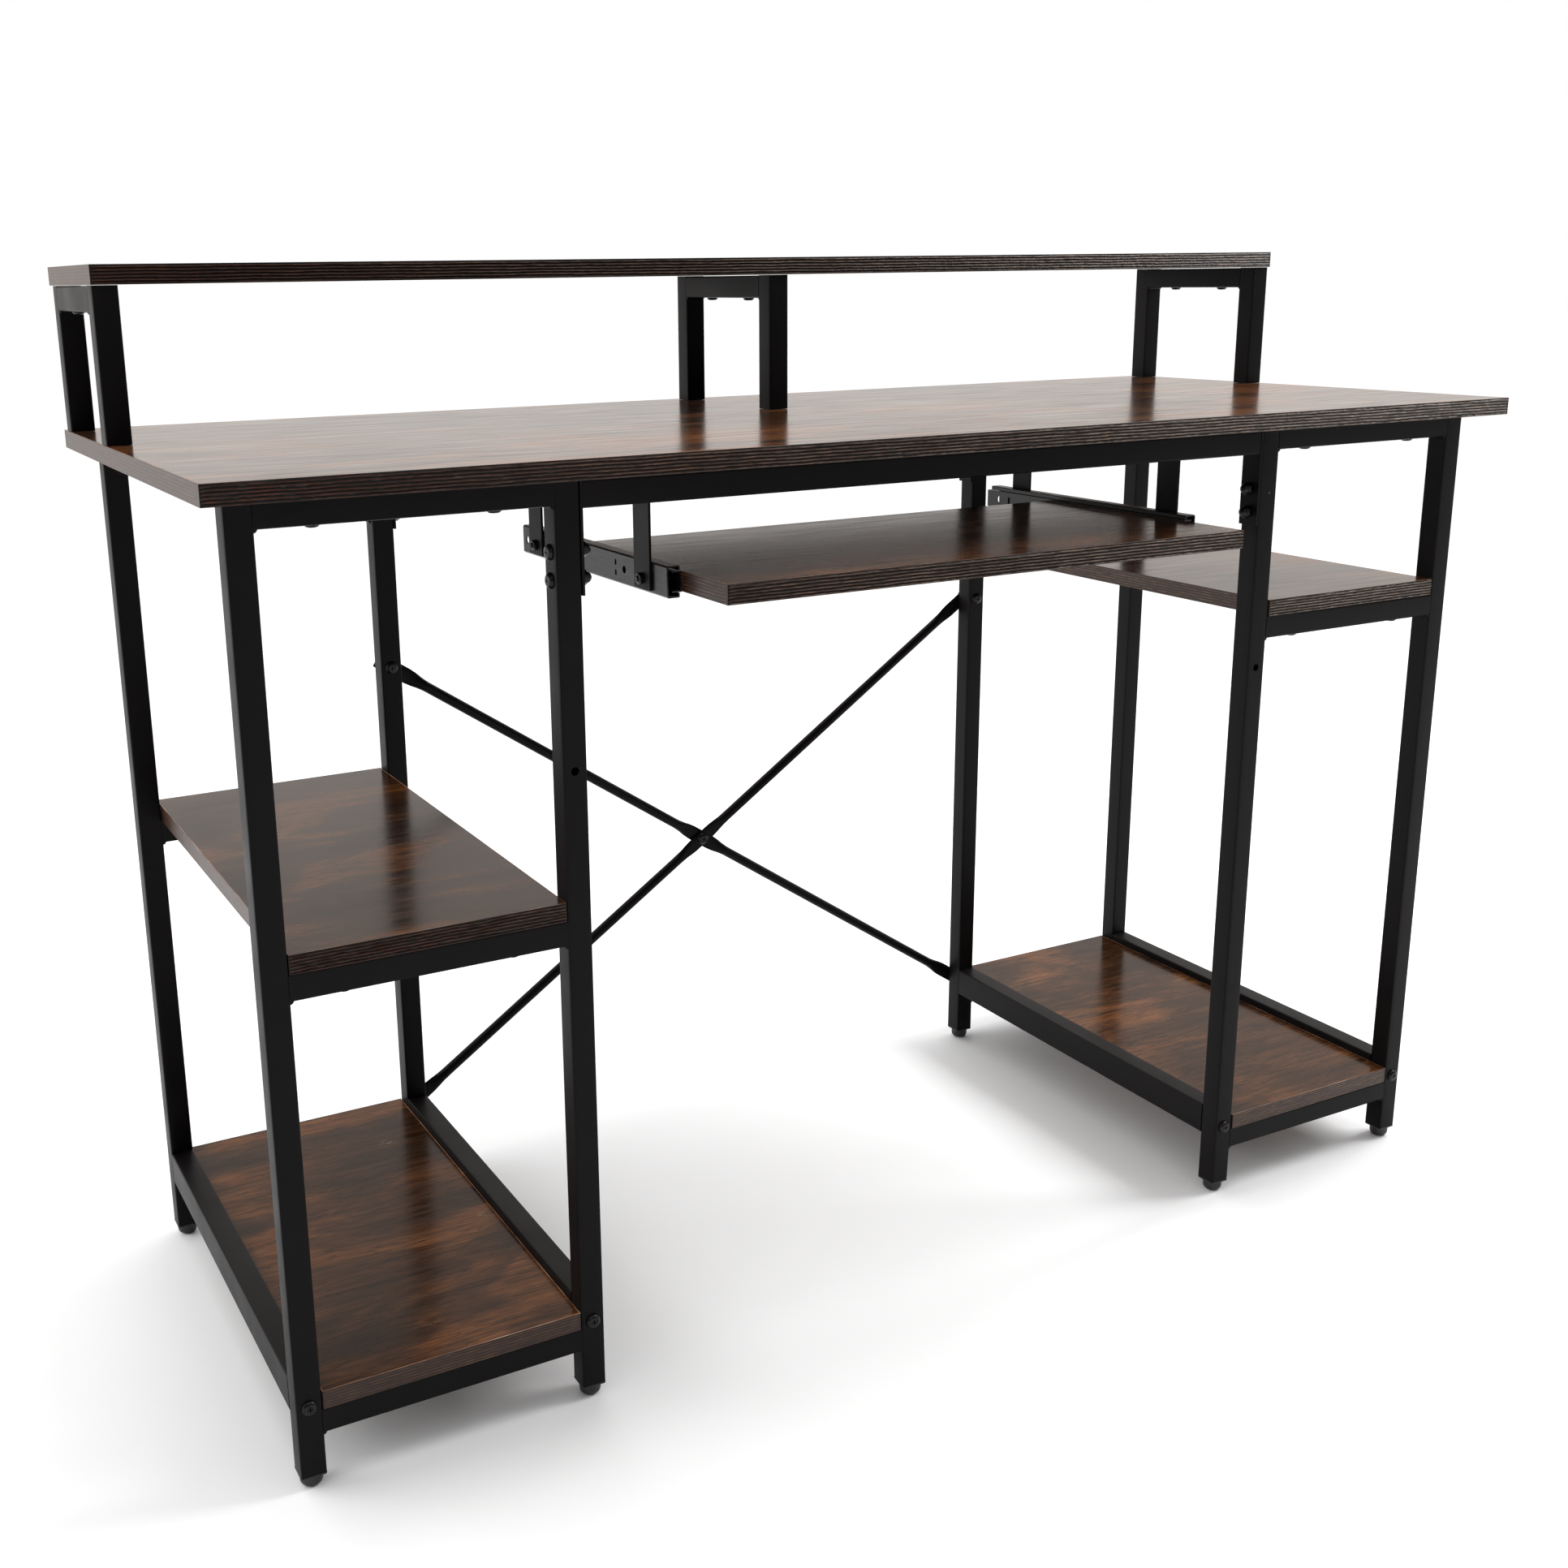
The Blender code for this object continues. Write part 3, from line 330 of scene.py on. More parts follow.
def makePowderCoat(name, look):
    material, tree, shader, coords = startMaterial(name)
    shader.inputs["Specular IOR Level"].default_value = look["specular"]
    cloud = grainNoise(tree, coords, (look["cloud"],) * 3, 4.0)
    peel = grainNoise(tree, coords, (look["peel"],) * 3, 1.0)
    colour = addNode(tree, "ValToRGB", {"Fac": cloud}, [(0.3, look["dark"]), (0.7, look["light"])])
    # a few chips down to the primer, about a millimetre across
    chips = addNode(tree, "TexVoronoi", {"Vector": coords, "Scale": 1 / look["chipEvery"]})
    small, large = look["chipSize"]
    spread = {"From Min": small, "From Max": large, "To Min": 1.0, "To Max": 0.0}
    chip = addNode(tree, "MapRange", {"Value": chips, **spread})
    mix = {"Fac": chip, "Color1": colour, "Color2": linearColour(look["chipColour"])}
    colour = addNode(tree, "MixRGB", mix)
    tree.links.new(colour.outputs[0], shader.inputs["Base Color"])
    linkGloss(tree, shader, cloud, look["roughness"])
    linkBump(tree, shader, peel, 0.12, 0.0001)
    return material


def makeMetal(name, look):
    material, tree, shader, coords = startMaterial(name, Metallic=look["metallic"])
    mottle = grainNoise(tree, coords, look["grit"], 3.0)
    dark, light = look["colours"]
    colour = addNode(tree, "ValToRGB", {"Fac": mottle}, [(0.3, dark), (0.7, light)])
    tree.links.new(colour.outputs[0], shader.inputs["Base Color"])
    linkGloss(tree, shader, mottle, look["roughness"])
    linkBump(tree, shader, mottle, look["bump"], 0.0001)
    return material


laminate = makeLaminate("melamineLaminateRusticBrown", laminateLook)
edgeBand = makeBand("embossedAbsEdgeBand", bandLook)
# the same band where it is pressed only lightly: less painted shade in its grooves, a dimmer
# painted highlight on its crests, and glossier
lightBandLook = {
    **bandLook,
    "grooveShade": "#2C1C13", "crestHighlight": "#7E5D47", "warmer": "#62402C", "specular": 0.30,
}
lightBand = makeBand("lightlyPressedAbsBand", lightBandLook)
bandCore = makeBandCore("cutAbsBandCore")
powderCoat = makePowderCoat("satinBlackPowderCoatedSteel", coatLook)
# electro-coated cold-rolled steel: black, a little glossier, with rolling lines along the slide
slideCoat = makeMetal("blackCoatedRolledSlideSteel", {
    "colours": ("#0D0D0D", "#1B1A1B"), "roughness": (0.24, 0.40), "metallic": 0.35,
    "grit": (0.002, 0.05, 0.002), "bump": 0.1,
})
# black-oxide screws: dark metal that still glints on its rounded edges
blackOxide = makeMetal("blackOxideScrewSteel", {
    "colours": ("#131213", "#2A282A"), "roughness": (0.22, 0.38), "metallic": 0.75,
    "grit": (0.004, 0.004, 0.004), "bump": 0.15,
})
# bright ground bearing steel behind a thin film of grease
bearingSteel = makeMetal("groundBearingSteel", {
    "colours": ("#8E8D8A", "#C2C1BE"), "roughness": (0.14, 0.26), "metallic": 1.0,
    "grit": (0.006, 0.006, 0.006), "bump": 0.05,
})
# injection-moulded polypropylene: black, matt, faintly textured
footPlastic = makeMetal("mouldedPolypropyleneBlack", {
    "colours": ("#0B0B0C", "#151516"), "roughness": (0.42, 0.56), "metallic": 0.0,
    "grit": (0.0012, 0.0012, 0.0012), "bump": 0.25,
})
print("materials made:", len(bpy.data.materials))


# Tubes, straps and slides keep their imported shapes, merged so their corners shade as rolled tube.
steelStarts = (
    "front_frame", "rear_frame", "side_rail", "middle_rail", "riser",
    "brace_left_to", "brace_right_to", "hanger_front", "hanger_rear",
)
coatedNodes = [name for name in nodes if name.startswith(steelStarts)]
slideNodes = [name for name in nodes if name.startswith("slide_")]
steelLook = {"merge": 0.00001, "flatDegrees": 0.6, "smoothDegrees": 38}


def smoothSteel(nodeName, material, body):
    piece = meshCopy(nodes[nodeName], nodeName + "_shell")
    pickOnly(piece)
    bpy.ops.mesh.customdata_custom_splitnormals_clear()
    bpy.ops.object.mode_set(mode="EDIT")
    bpy.ops.mesh.select_all(action="SELECT")
    bpy.ops.mesh.remove_doubles(threshold=steelLook["merge"])
    bpy.ops.mesh.dissolve_limited(angle_limit=math.radians(steelLook["flatDegrees"]))
    bpy.ops.object.mode_set(mode="OBJECT")
    smoothFaces(piece, steelLook["smoothDegrees"])
    applyModifier(piece, "WEIGHTED_NORMAL", keep_sharp=True)
    piece.data.materials.clear()
    finishPiece(piece, piece.name, material, body, [nodeName])


for nodeName in coatedNodes:
    smoothSteel(nodeName, powderCoat, "desk")
for nodeName in slideNodes:
    smoothSteel(nodeName, slideCoat, "tray" if "inner" in nodeName else "desk")
print("tubes, straps and slides:", len(coatedNodes) + len(slideNodes))


# Boards, each with embossed bands on its front edge and its ends.
boardLook = {
    "arris": 0.0006,
    "bandThickness": 0.0008,
    "bandLift": 0.55,             # share of the band's thickness that stands proud of the board
    "rowPitch": 0.0005,
    "columnPitch": 0.0013,
    "coarser": 3,                 # a lightly pressed band needs fewer columns
    "lightBelow": 0.5,
}
ridgeLook = {
    "pitch": 0.0025,
    "depth": 0.00042,             # half the height of a full ridge
    "rim": 0.0009,                # the ridges fade out this near the band's outline
    "wave": (0.035, 0.0090),      # metres along and across the grain
    "waveHeight": 0.0011,
    "breaks": (0.0042, 0.0011),
}
boards = {  # how deeply each band is pressed
    "desktop": {"front": 1.0, "ends": 0.16},
    "monitor_shelf": {"front": 1.0, "ends": 0.16},
    "keyboard_tray": {"front": 1.0, "ends": 0.16, "body": "tray"},
    "middle_shelf_left": {"front": 0.8, "ends": 0.16},
    "middle_shelf_right": {"front": 0.8, "ends": 0.16},
    "bottom_shelf_left": {"front": 0.22, "ends": 0.16},
    "bottom_shelf_right": {"front": 0.22, "ends": 0.16},
}


def guide(scale, place=(0, 0, 0)):  # an empty whose size sets a displacement pattern's spacing
    empty = bpy.data.objects.new("ridgeGuide", None)
    bpy.context.scene.collection.objects.link(empty)
    empty.scale, empty.location = scale, place
    return empty


ridgeBands = bpy.data.textures.new("ridgeBands", "WOOD")
ridgeBands.wood_type, ridgeBands.noise_basis_2 = "BANDS", "SIN"
ridgeClouds = bpy.data.textures.new("ridgeClouds", "CLOUDS")
ridgeClouds.noise_scale, ridgeClouds.noise_depth = 1.0, 2


def pressPattern(strip, texture, pattern, strength, direction="Z"):
    applyModifier(
        strip, "DISPLACE", texture=texture, texture_coords="OBJECT",
        texture_coords_object=pattern, strength=strength, direction=direction,
        vertex_group="inside",
    )


def edgeBandStrip(name, low, high, facing, amount, body):  # low and high corners of its face
    height = high.z - low.z
    middle = (low + high) / 2
    if facing == "y":
        length, turn = high.x - low.x, (math.pi / 2, 0, 0)
        outward = Vector((0, -1, 0))
    else:
        length = high.y - low.y
        turn = (math.pi / 2, 0, -math.pi / 2 if low.x < 0 else math.pi / 2)
        outward = Vector((math.copysign(1, middle.x), 0, 0))
    light = amount <= boardLook["lightBelow"]
    columnPitch = boardLook["columnPitch"] * (boardLook["coarser"] if light else 1)
    columns, rows = round(length / columnPitch), round(height / boardLook["rowPitch"])
    deselectAll()
    bpy.ops.mesh.primitive_grid_add(x_subdivisions=columns, y_subdivisions=rows, size=1.0)
    strip = bpy.context.object
    strip.scale = (length, height, 1.0)
    bpy.ops.object.transform_apply(location=False, rotation=False, scale=True)
    # in the flat: x along the band, y up it, z out of the board
    inside = strip.vertex_groups.new(name="inside")
    for vertex in strip.data.vertices:
        rim = min(height / 2 - abs(vertex.co.y), length / 2 - abs(vertex.co.x))
        inside.add([vertex.index], min(1.0, rim / ridgeLook["rim"]), "REPLACE")
    # only y counts for the ridges, which repeat every 2 pi / 10 of the guide's own size
    ridgeGuide = guide((1000.0, ridgeLook["pitch"] * 10 / (2 * math.pi), 1000.0))
    # places that differ from board to board, so no two bands match
    waveGuide = guide((*ridgeLook["wave"], 1.0), (middle.x, middle.z * 3, 0.3))
    breakGuide = guide((*ridgeLook["breaks"], 1.0), (middle.z * 2, middle.x, 0.7))
    bpy.context.view_layer.update()
    depth = ridgeLook["depth"] * amount
    pressPattern(strip, ridgeBands, ridgeGuide, depth * 2)
    pressPattern(strip, ridgeClouds, breakGuide, depth)
    heights = [vertex.co.z for vertex in strip.data.vertices]
    lowest = min(heights)
    reach = max(heights) - lowest
    # each point's share of the ridges' height, which the band's material turns into painted shade
    # and painted highlight
    crestRise = strip.data.attributes.new("ridgeHeight", "FLOAT", "POINT")
    crestRise.data.foreach_set("value", [(z - lowest) / reach for z in heights])
    waveHeight = ridgeLook["waveHeight"] * min(1.0, amount + 0.2)
    pressPattern(strip, ridgeClouds, waveGuide, waveHeight, "Y")
    for empty in (ridgeGuide, waveGuide, breakGuide):
        bpy.data.objects.remove(empty)
    strip.vertex_groups.clear()
    # a back and a rim, so the band is a closed strip lying on the board's edge
    thickness = boardLook["bandThickness"]
    pickOnly(strip)
    bpy.ops.object.mode_set(mode="EDIT")
    bpy.ops.mesh.select_all(action="SELECT")
    bpy.ops.mesh.extrude_region_move(TRANSFORM_OT_translate={"value": (0, 0, -thickness)})
    bpy.ops.transform.resize(value=(1, 1, 0.0), center_override=(0, 0, -thickness))
    bpy.ops.mesh.select_all(action="SELECT")
    bpy.ops.mesh.normals_make_consistent(inside=False)
    bpy.ops.object.mode_set(mode="OBJECT")
    strip.rotation_euler = turn
    strip.location = middle + outward * thickness * boardLook["bandLift"]
    applyPlace()
    smoothFaces(strip, 45)
    band = lightBand if light else edgeBand
    strip.data.materials.append(band)
    strip.data.materials.append(bandCore)
    for face in strip.data.polygons:  # the cut edges, along its top and bottom
        level = abs(face.center.z - middle.z) / height
        if abs(face.normal.dot(outward)) < 0.3 and level > 0.49:
            face.material_index = 1
    finishPiece(strip, name, band, body)


def laminatedBoard(nodeName, body):
    low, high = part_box(nodeName)
    deselectAll()
    bpy.ops.mesh.primitive_cube_add(size=1.0, location=(low + high) / 2)
    piece = bpy.context.object
    piece.scale = high - low
    applyPlace()
    bevelEdges(piece, lambda edge: True, offset=boardLook["arris"], segments=2, profile=0.5)
    smoothFaces(piece, 50)
    applyModifier(piece, "WEIGHTED_NORMAL", keep_sharp=True)
    finishPiece(piece, nodeName + "_board", laminate, body, [nodeName])
    return low, high


for nodeName, look in boards.items():
    body = look.get("body", "desk")
    low, high = laminatedBoard(nodeName, body)
    faces = (
        ("front", low, Vector((high.x, low.y, high.z)), "y", look["front"]),
        ("left", low, Vector((low.x, high.y, high.z)), "x", look["ends"]),
        ("right", Vector((high.x, low.y, low.z)), high, "x", look["ends"]),
    )
    for word, faceLow, faceHigh, facing, amount in faces:
        edgeBandStrip(f"{nodeName}_{word}_band", faceLow, faceHigh, facing, amount, body)
print("boards:", len(boards))


# Screws, bolts and nuts, each modelled once.
screwLook = {
    "headRadius": 0.0060, "headHeight": 0.0028,
    "crown": 0.86, "crownProfile": 0.42,  # how far down the head its rounding reaches
    "recess": 0.0034, "recessWidth": 0.0011, "recessDepth": 0.0016, "recessTaper": 0.45,
    "shankRadius": 0.0028, "shankLength": 0.010, "shankTip": 0.0006,
}
nutLook = {
    "cornerRadius": 0.00577, "edge": 0.0005, "capHeight": 0.0055, "hexHeight": 0.0046,
    "domeRadius": 0.0045, "domeSunk": 0.0004,
    "boltRadius": 0.0029, "boltLength": 0.0022, "boltRise": 0.0006,
}


def panHeadMaster():
    deselectAll()
    height = screwLook["headHeight"]
    bpy.ops.mesh.primitive_cylinder_add(
        vertices=32, radius=screwLook["headRadius"], depth=height, location=(0, 0, height / 2)
    )
    head = bpy.context.object
    applyPlace()
    bevelEdges(
        head, lambda edge: all(vertex.co.z > height * 0.9 for vertex in edge.verts),
        offset=height * screwLook["crown"], segments=5, profile=screwLook["crownProfile"],
    )
    for turn in (0, math.pi / 2):  # the cross recess: two tapered blades, cut out one by one
        deselectAll()
        bpy.ops.mesh.primitive_cube_add(size=1.0, location=(0, 0, height))
        blade = bpy.context.object
        blade.scale = (
            screwLook["recess"] * 2, screwLook["recessWidth"], screwLook["recessDepth"] * 2
        )
        blade.rotation_euler = (0, 0, turn)
        applyPlace()
        bpy.ops.object.mode_set(mode="EDIT")
        shape = bmesh.from_edit_mesh(blade.data)
        for vertex in shape.verts:
            vertex.select_set(vertex.co.z < height)
        shape.select_flush(True)
        bmesh.update_edit_mesh(blade.data)
        taper = screwLook["recessTaper"]
        bpy.ops.transform.resize(value=(taper, taper, 1.0), center_override=(0, 0, height))
        bpy.ops.object.mode_set(mode="OBJECT")
        applyModifier(head, "BOOLEAN", operation="DIFFERENCE", object=blade, solver="EXACT")
        bpy.data.objects.remove(blade)
    smoothFaces(head, 40)
    head.name = "panHead"
    return head


def shankMaster():  # hangs below the origin; stretched to each bolt's length when it is placed
    deselectAll()
    length = screwLook["shankLength"]
    bpy.ops.mesh.primitive_cylinder_add(
        vertices=16, radius=screwLook["shankRadius"], depth=length, location=(0, 0, -length / 2)
    )
    rod = bpy.context.object
    applyPlace()
    bevelEdges(
        rod, lambda edge: all(vertex.co.z < -length * 0.9 for vertex in edge.verts),
        offset=screwLook["shankTip"], segments=1,
    )
    smoothFaces(rod, 40)
    rod.name = "boltShank"
    return rod


def nutMaster(height, dome):
    deselectAll()
    bpy.ops.mesh.primitive_cylinder_add(
        vertices=6, radius=nutLook["cornerRadius"], depth=height, location=(0, 0, height / 2)
    )
    nut = bpy.context.object
    applyPlace()
    bevelEdges(nut, lambda edge: True, offset=nutLook["edge"], segments=2)
    deselectAll()
    if dome:
        bpy.ops.mesh.primitive_uv_sphere_add(
            segments=24, ring_count=12, radius=nutLook["domeRadius"],
            location=(0, 0, height - nutLook["domeSunk"]),
        )
    else:  # the bolt's end, just past the nut
        bpy.ops.mesh.primitive_cylinder_add(
            vertices=20, radius=nutLook["boltRadius"], depth=nutLook["boltLength"],
            location=(0, 0, height + nutLook["boltRise"]),
        )
        boltEnd = bpy.context.object
        bevelEdges(
            boltEnd, lambda edge: all(vertex.co.z > 0 for vertex in edge.verts),
            offset=screwLook["shankTip"], segments=1,
        )
    nut = joined([nut, bpy.context.object])
    applyPlace()
    smoothFaces(nut, 32)
    nut.name = "capNut" if dome else "hexNut"
    return nut


panHead, boltShank = panHeadMaster(), shankMaster()
capNut = nutMaster(nutLook["capHeight"], True)
hexNut = nutMaster(nutLook["hexHeight"], False)


def boltSet(name, seat, direction, length, replaced=(), nut=None, nutSeat=None):
    seat, direction = Vector(seat), Vector(direction)
    parts = [placedCopy(panHead, seat, direction)]
    shank = meshCopy(boltShank, "shank")
    turn = direction.to_track_quat("Z", "Y").to_matrix().to_4x4()
    stretch = Matrix.Diagonal((1, 1, length / screwLook["shankLength"], 1))
    shank.data.transform(Matrix.Translation(seat) @ turn @ stretch)
    parts.append(shank)
    if nut:
        parts.append(placedCopy(nut, nutSeat, -direction))
    finishPiece(joined(parts), name, blackOxide, "desk", replaced)


boltLook = {"nutInset": 0.0020, "pastNut": 0.0040, "braceNut": 0.0060, "bracePastNut": 0.0020}
head = screwLook["headHeight"]
frontPlate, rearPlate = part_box("middle_rail_front"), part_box("middle_rail_rear")
plateNutX = frontPlate[1].x - boltLook["nutInset"]


def plateBolt(name, low, high, y, replaced=()):  # head on the pedestal side, cap nut by the knees
    side, z = math.copysign(1, low.x), (low.z + high.z) / 2
    seatX = max(abs(low.x), abs(high.x)) - head
    length = seatX - plateNutX + boltLook["pastNut"]
    seat, nutSeat = (side * seatX, y, z), (side * plateNutX, y, z)
    boltSet(name, seat, (side, 0, 0), length, replaced, capNut, nutSeat)


boltStarts = ("leg_bolt", "brace_bolt", "brace_centre", "plate_bolt")
for nodeName in [name for name in nodes if name.startswith(boltStarts)]:
    low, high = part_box(nodeName)
    x, y, z = (low + high) / 2
    name = nodeName + "_screw"
    if nodeName.startswith("plate_bolt"):
        plateBolt(name, low, high, y, [nodeName])
    elif nodeName.startswith("leg_bolt_rear"):
        boltSet(name, (x, high.y - head, z), (0, 1, 0), high.y - head - low.y, [nodeName])
    elif nodeName.startswith("leg_bolt_front"):
        boltSet(name, (x, low.y + head, z), (0, -1, 0), high.y - head - low.y, [nodeName])
    else:  # the brace bolts: head towards the front, nut behind
        nutY = high.y - boltLook["braceNut"]
        length = nutY - low.y - head + boltLook["bracePastNut"]
        seat, nutSeat = (x, low.y + head, z), (x, nutY, z)
        boltSet(name, seat, (0, -1, 0), length, [nodeName], hexNut, nutSeat)

# the rear rail's plates are bolted as the front ones are
for nodeName in [name for name in nodes if name.startswith("plate_bolt")]:
    low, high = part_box(nodeName)
    name = nodeName.replace("plate_bolt", "rear_plate_bolt") + "_screw"
    plateBolt(name, low, high, (rearPlate[0].y + rearPlate[1].y) / 2)

# hanger bolts: low flat head inside the slide, nut outside the strap
hangerLook = {
    "headScale": 0.70, "headFlatten": 0.45, "headSeat": 0.0009,
    "nutScale": 0.80, "nutSeat": 0.002, "shankScale": 0.84, "shankSeat": 0.001,
}
strapX = abs(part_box("hanger_front_right")[0].x) + hangerLook["nutSeat"]
for nodeName in [name for name in nodes if name.startswith("hanger_bolt")]:
    low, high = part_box(nodeName)
    x, y, z = (low + high) / 2
    side = math.copysign(1, x)
    insideX = min(abs(low.x), abs(high.x))
    headX = side * (insideX + hangerLook["headSeat"])
    flatHead = placedCopy(panHead, (headX, y, z), (-side, 0, 0), hangerLook["headScale"])
    flatten = Matrix.Diagonal((hangerLook["headFlatten"], 1, 1, 1))
    toHead = Matrix.Translation((headX, 0, 0))
    flatHead.data.transform(toHead @ flatten @ toHead.inverted())
    nut = placedCopy(hexNut, (side * strapX, y, z), (side, 0, 0), hangerLook["nutScale"])
    shankX = side * (insideX + hangerLook["shankSeat"])
    shank = placedCopy(boltShank, (shankX, y, z), (-side, 0, 0), hangerLook["shankScale"])
    parts = joined([flatHead, nut, shank])
    finishPiece(parts, nodeName + "_screw", blackOxide, "desk", [nodeName])
print("bolts made")


def screwRow(name, seats, direction, scale, body="desk"):
    screws = joined([placedCopy(panHead, seat, direction, scale) for seat in seats])
    finishPiece(screws, name, blackOxide, body)


# Board screws, driven up through the rails into each board.
rowLook = {
    "rail": {"spread": 0.065, "scale": 0.92},
    "riser": {"spread": 0.035, "scale": 0.85},
    "strap": {"spread": 0.0065, "scale": 0.55, "inset": 0.0144, "sheet": 0.0020},
    "tray": {"scale": 0.5, "sheet": 0.0012, "frontEdge": 0.020, "backEdge": 0.018},
}


def shelfRailTop(level, word):
    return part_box(f"{level}_shelf_{word}")[0].z - stock["gap"]


look = rowLook["rail"]
for side, word in sides:
    frameLow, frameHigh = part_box("front_frame_" + word)
    middleX = (frameLow.x + frameHigh.x) / 2
    tops = [frameHigh.z] + [shelfRailTop(level, word) for level in ("middle", "bottom")]
    for row in ("front", "rear"):
        rowLow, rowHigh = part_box(row + "_frame_" + word)
        y = (rowLow.y + rowHigh.y) / 2
        seats = [
            (middleX + way * look["spread"], y, top - stock["tube"])
            for top in tops for way in (-1, 1)
        ]
        screwRow(f"board_screws_{row}_{word}", seats, (0, 0, -1), look["scale"])

# monitor shelf screws, up through the risers' crossbars
look = rowLook["riser"]
seats = []
for word in ("left", "middle", "right"):
    low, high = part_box("riser_" + word)
    x, y, z = (low + high) / 2
    under = high.z - stock["tube"] - stock["gap"]
    seats += [(x, y + way * look["spread"], under) for way in (-1, 1)]
screwRow("riser_screws", seats, (0, 0, -1), look["scale"])

# strap flanges to the desktop
look = rowLook["strap"]
for row in ("front", "rear"):
    for side, word in sides:
        low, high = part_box(f"hanger_{row}_{word}")
        x, y = side * (min(abs(low.x), abs(high.x)) + look["inset"]), (low.y + high.y) / 2
        seats = [(x, y + way * look["spread"], high.z - look["sheet"]) for way in (-1, 1)]
        screwRow(f"hanger_screws_{row}_{word}", seats, (0, 0, -1), look["scale"])

# the inner slide members to the tray's edges
look = rowLook["tray"]
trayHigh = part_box("keyboard_tray")[1]
slideLow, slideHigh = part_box("slide_outer_left")
slideZ = (slideLow.z + slideHigh.z) / 2
sheetX = trayHigh.x + stock["gap"] + look["sheet"]
places = [
    slideLow.y + look["frontEdge"], (slideLow.y + trayHigh.y) / 2, trayHigh.y - look["backEdge"]
]
for side, word in sides:
    seats = [(side * sheetX, y, slideZ) for y in places]
    screwRow(f"tray_screws_{word}", seats, (side, 0, 0), look["scale"], "tray")
print("screws made")


# Weld beads in the inner corners of the frames.
beadLook = {
    "radius": 0.0031, "length": 0.0185, "cuts": 11, "endRounding": 0.0011,
    "ripple": 0.0007, "lump": 0.0030,
    "sunk": 0.0006,  # how far the bead's middle lies inside the corner
}


def endsOnCap(edge):  # the rims of the two many-sided end caps
    return len(edge.link_faces) == 2 and any(len(face.verts) > 5 for face in edge.link_faces)


def beadMaster():  # lies along y, centred on the origin
    deselectAll()
    bpy.ops.mesh.primitive_cylinder_add(
        vertices=14, radius=beadLook["radius"], depth=beadLook["length"],
        rotation=(math.pi / 2, 0, 0),
    )
    bead = bpy.context.object
    applyPlace()
    selectEdges(bead, lambda edge: abs(edge.verts[0].co.y - edge.verts[1].co.y) > 0.001)
    bpy.ops.mesh.subdivide(number_cuts=beadLook["cuts"])
    bpy.ops.object.mode_set(mode="OBJECT")
    bevelEdges(bead, endsOnCap, offset=beadLook["endRounding"], segments=3)
    lumps = bpy.data.textures.new("beadLumps", "CLOUDS")
    lumps.noise_scale = beadLook["lump"]
    applyModifier(
        bead, "DISPLACE", texture=lumps, texture_coords="LOCAL", strength=beadLook["ripple"]
    )
    smoothFaces(bead, 60)
    bead.name = "weldBead"
    return bead


def placedBead(x, y, z, turn=0.0):
    bead = placedCopy(weldBead, (0, 0, 0), (0, 0, 1))
    bead.data.transform(Matrix.Translation((x, y, z)) @ Matrix.Rotation(turn, 4, "Z"))
    return bead


weldBead = beadMaster()
tube, sunk = stock["tube"], beadLook["sunk"]
for side, word in sides:
    for row in ("front", "rear"):
        low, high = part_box(f"{row}_frame_{word}")
        y = (low.y + high.y) / 2
        tops = [high.z - stock["gap"]]
        tops += [shelfRailTop(level, word) for level in ("middle", "bottom")]
        legs = (low.x + tube - sunk, high.x - tube + sunk)
        beads = joined([placedBead(x, y, top - tube + sunk) for top in tops for x in legs])
        finishPiece(beads, f"weld_beads_{row}_{word}", powderCoat)
for word in ("left", "middle", "right"):
    low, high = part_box("riser_" + word)
    x, z = (low.x + high.x) / 2, high.z - tube + sunk
    legs = (low.y + tube - sunk, high.y - tube + sunk)
    beads = joined([placedBead(x, y, z, math.pi / 2) for y in legs])
    finishPiece(beads, "weld_beads_riser_" + word, powderCoat)
print("weld beads made")


# Feet: a square moulded collar under the tube and a round glide.
footLook = {
    "collar": 0.0204, "collarHeight": 0.0016, "collarCorner": 0.0022, "collarEdge": 0.0004,
    "glideRadius": 0.0088, "dome": 0.0052,
}


def footMaster(top):  # stands on the floor, its collar against the tube's end
    deselectAll()
    collarHeight = footLook["collarHeight"]
    bpy.ops.mesh.primitive_cube_add(size=1.0, location=(0, 0, top - collarHeight / 2))
    collar = bpy.context.object
    collar.scale = (footLook["collar"], footLook["collar"], collarHeight)
    applyPlace()
    corner, rim = footLook["collarCorner"], footLook["collarEdge"]
    bevelEdges(collar, lambda edge: rise(edge) > 0.001, offset=corner, segments=4)
    bevelEdges(collar, lambda edge: rise(edge) < 0.0001, offset=rim, segments=2)
    deselectAll()
    glideHeight = top - collarHeight + rim  # a little way up into the collar
    bpy.ops.mesh.primitive_cylinder_add(
        vertices=40, radius=footLook["glideRadius"], depth=glideHeight,
        location=(0, 0, glideHeight / 2),
    )
    glide = bpy.context.object
    applyPlace()
    bevelEdges(
        glide, lambda edge: all(vertex.co.z < 0.0001 for vertex in edge.verts),
        offset=footLook["dome"], segments=7,
    )
    foot = joined([collar, glide])
    smoothFaces(foot, 35)
    foot.name = "footGlide"
    return foot


footGlide = footMaster(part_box("front_frame_left")[0].z)
for nodeName in [name for name in nodes if name.startswith("foot_")]:
    low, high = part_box(nodeName)
    foot = placedCopy(footGlide, ((low.x + high.x) / 2, (low.y + high.y) / 2, 0), (0, 0, 1))
    finishPiece(foot, nodeName + "_glide", footPlastic, "desk", [nodeName])
print("feet made")


# Ball cages: pressed strip with round balls standing in it.
cageLook = {
    "balls": 6, "spacing": 0.014, "ballRadius": 0.00135,
    "ballInset": 0.0036, "ballRise": 0.0094,  # from the cage's outer face, and from its middle
}


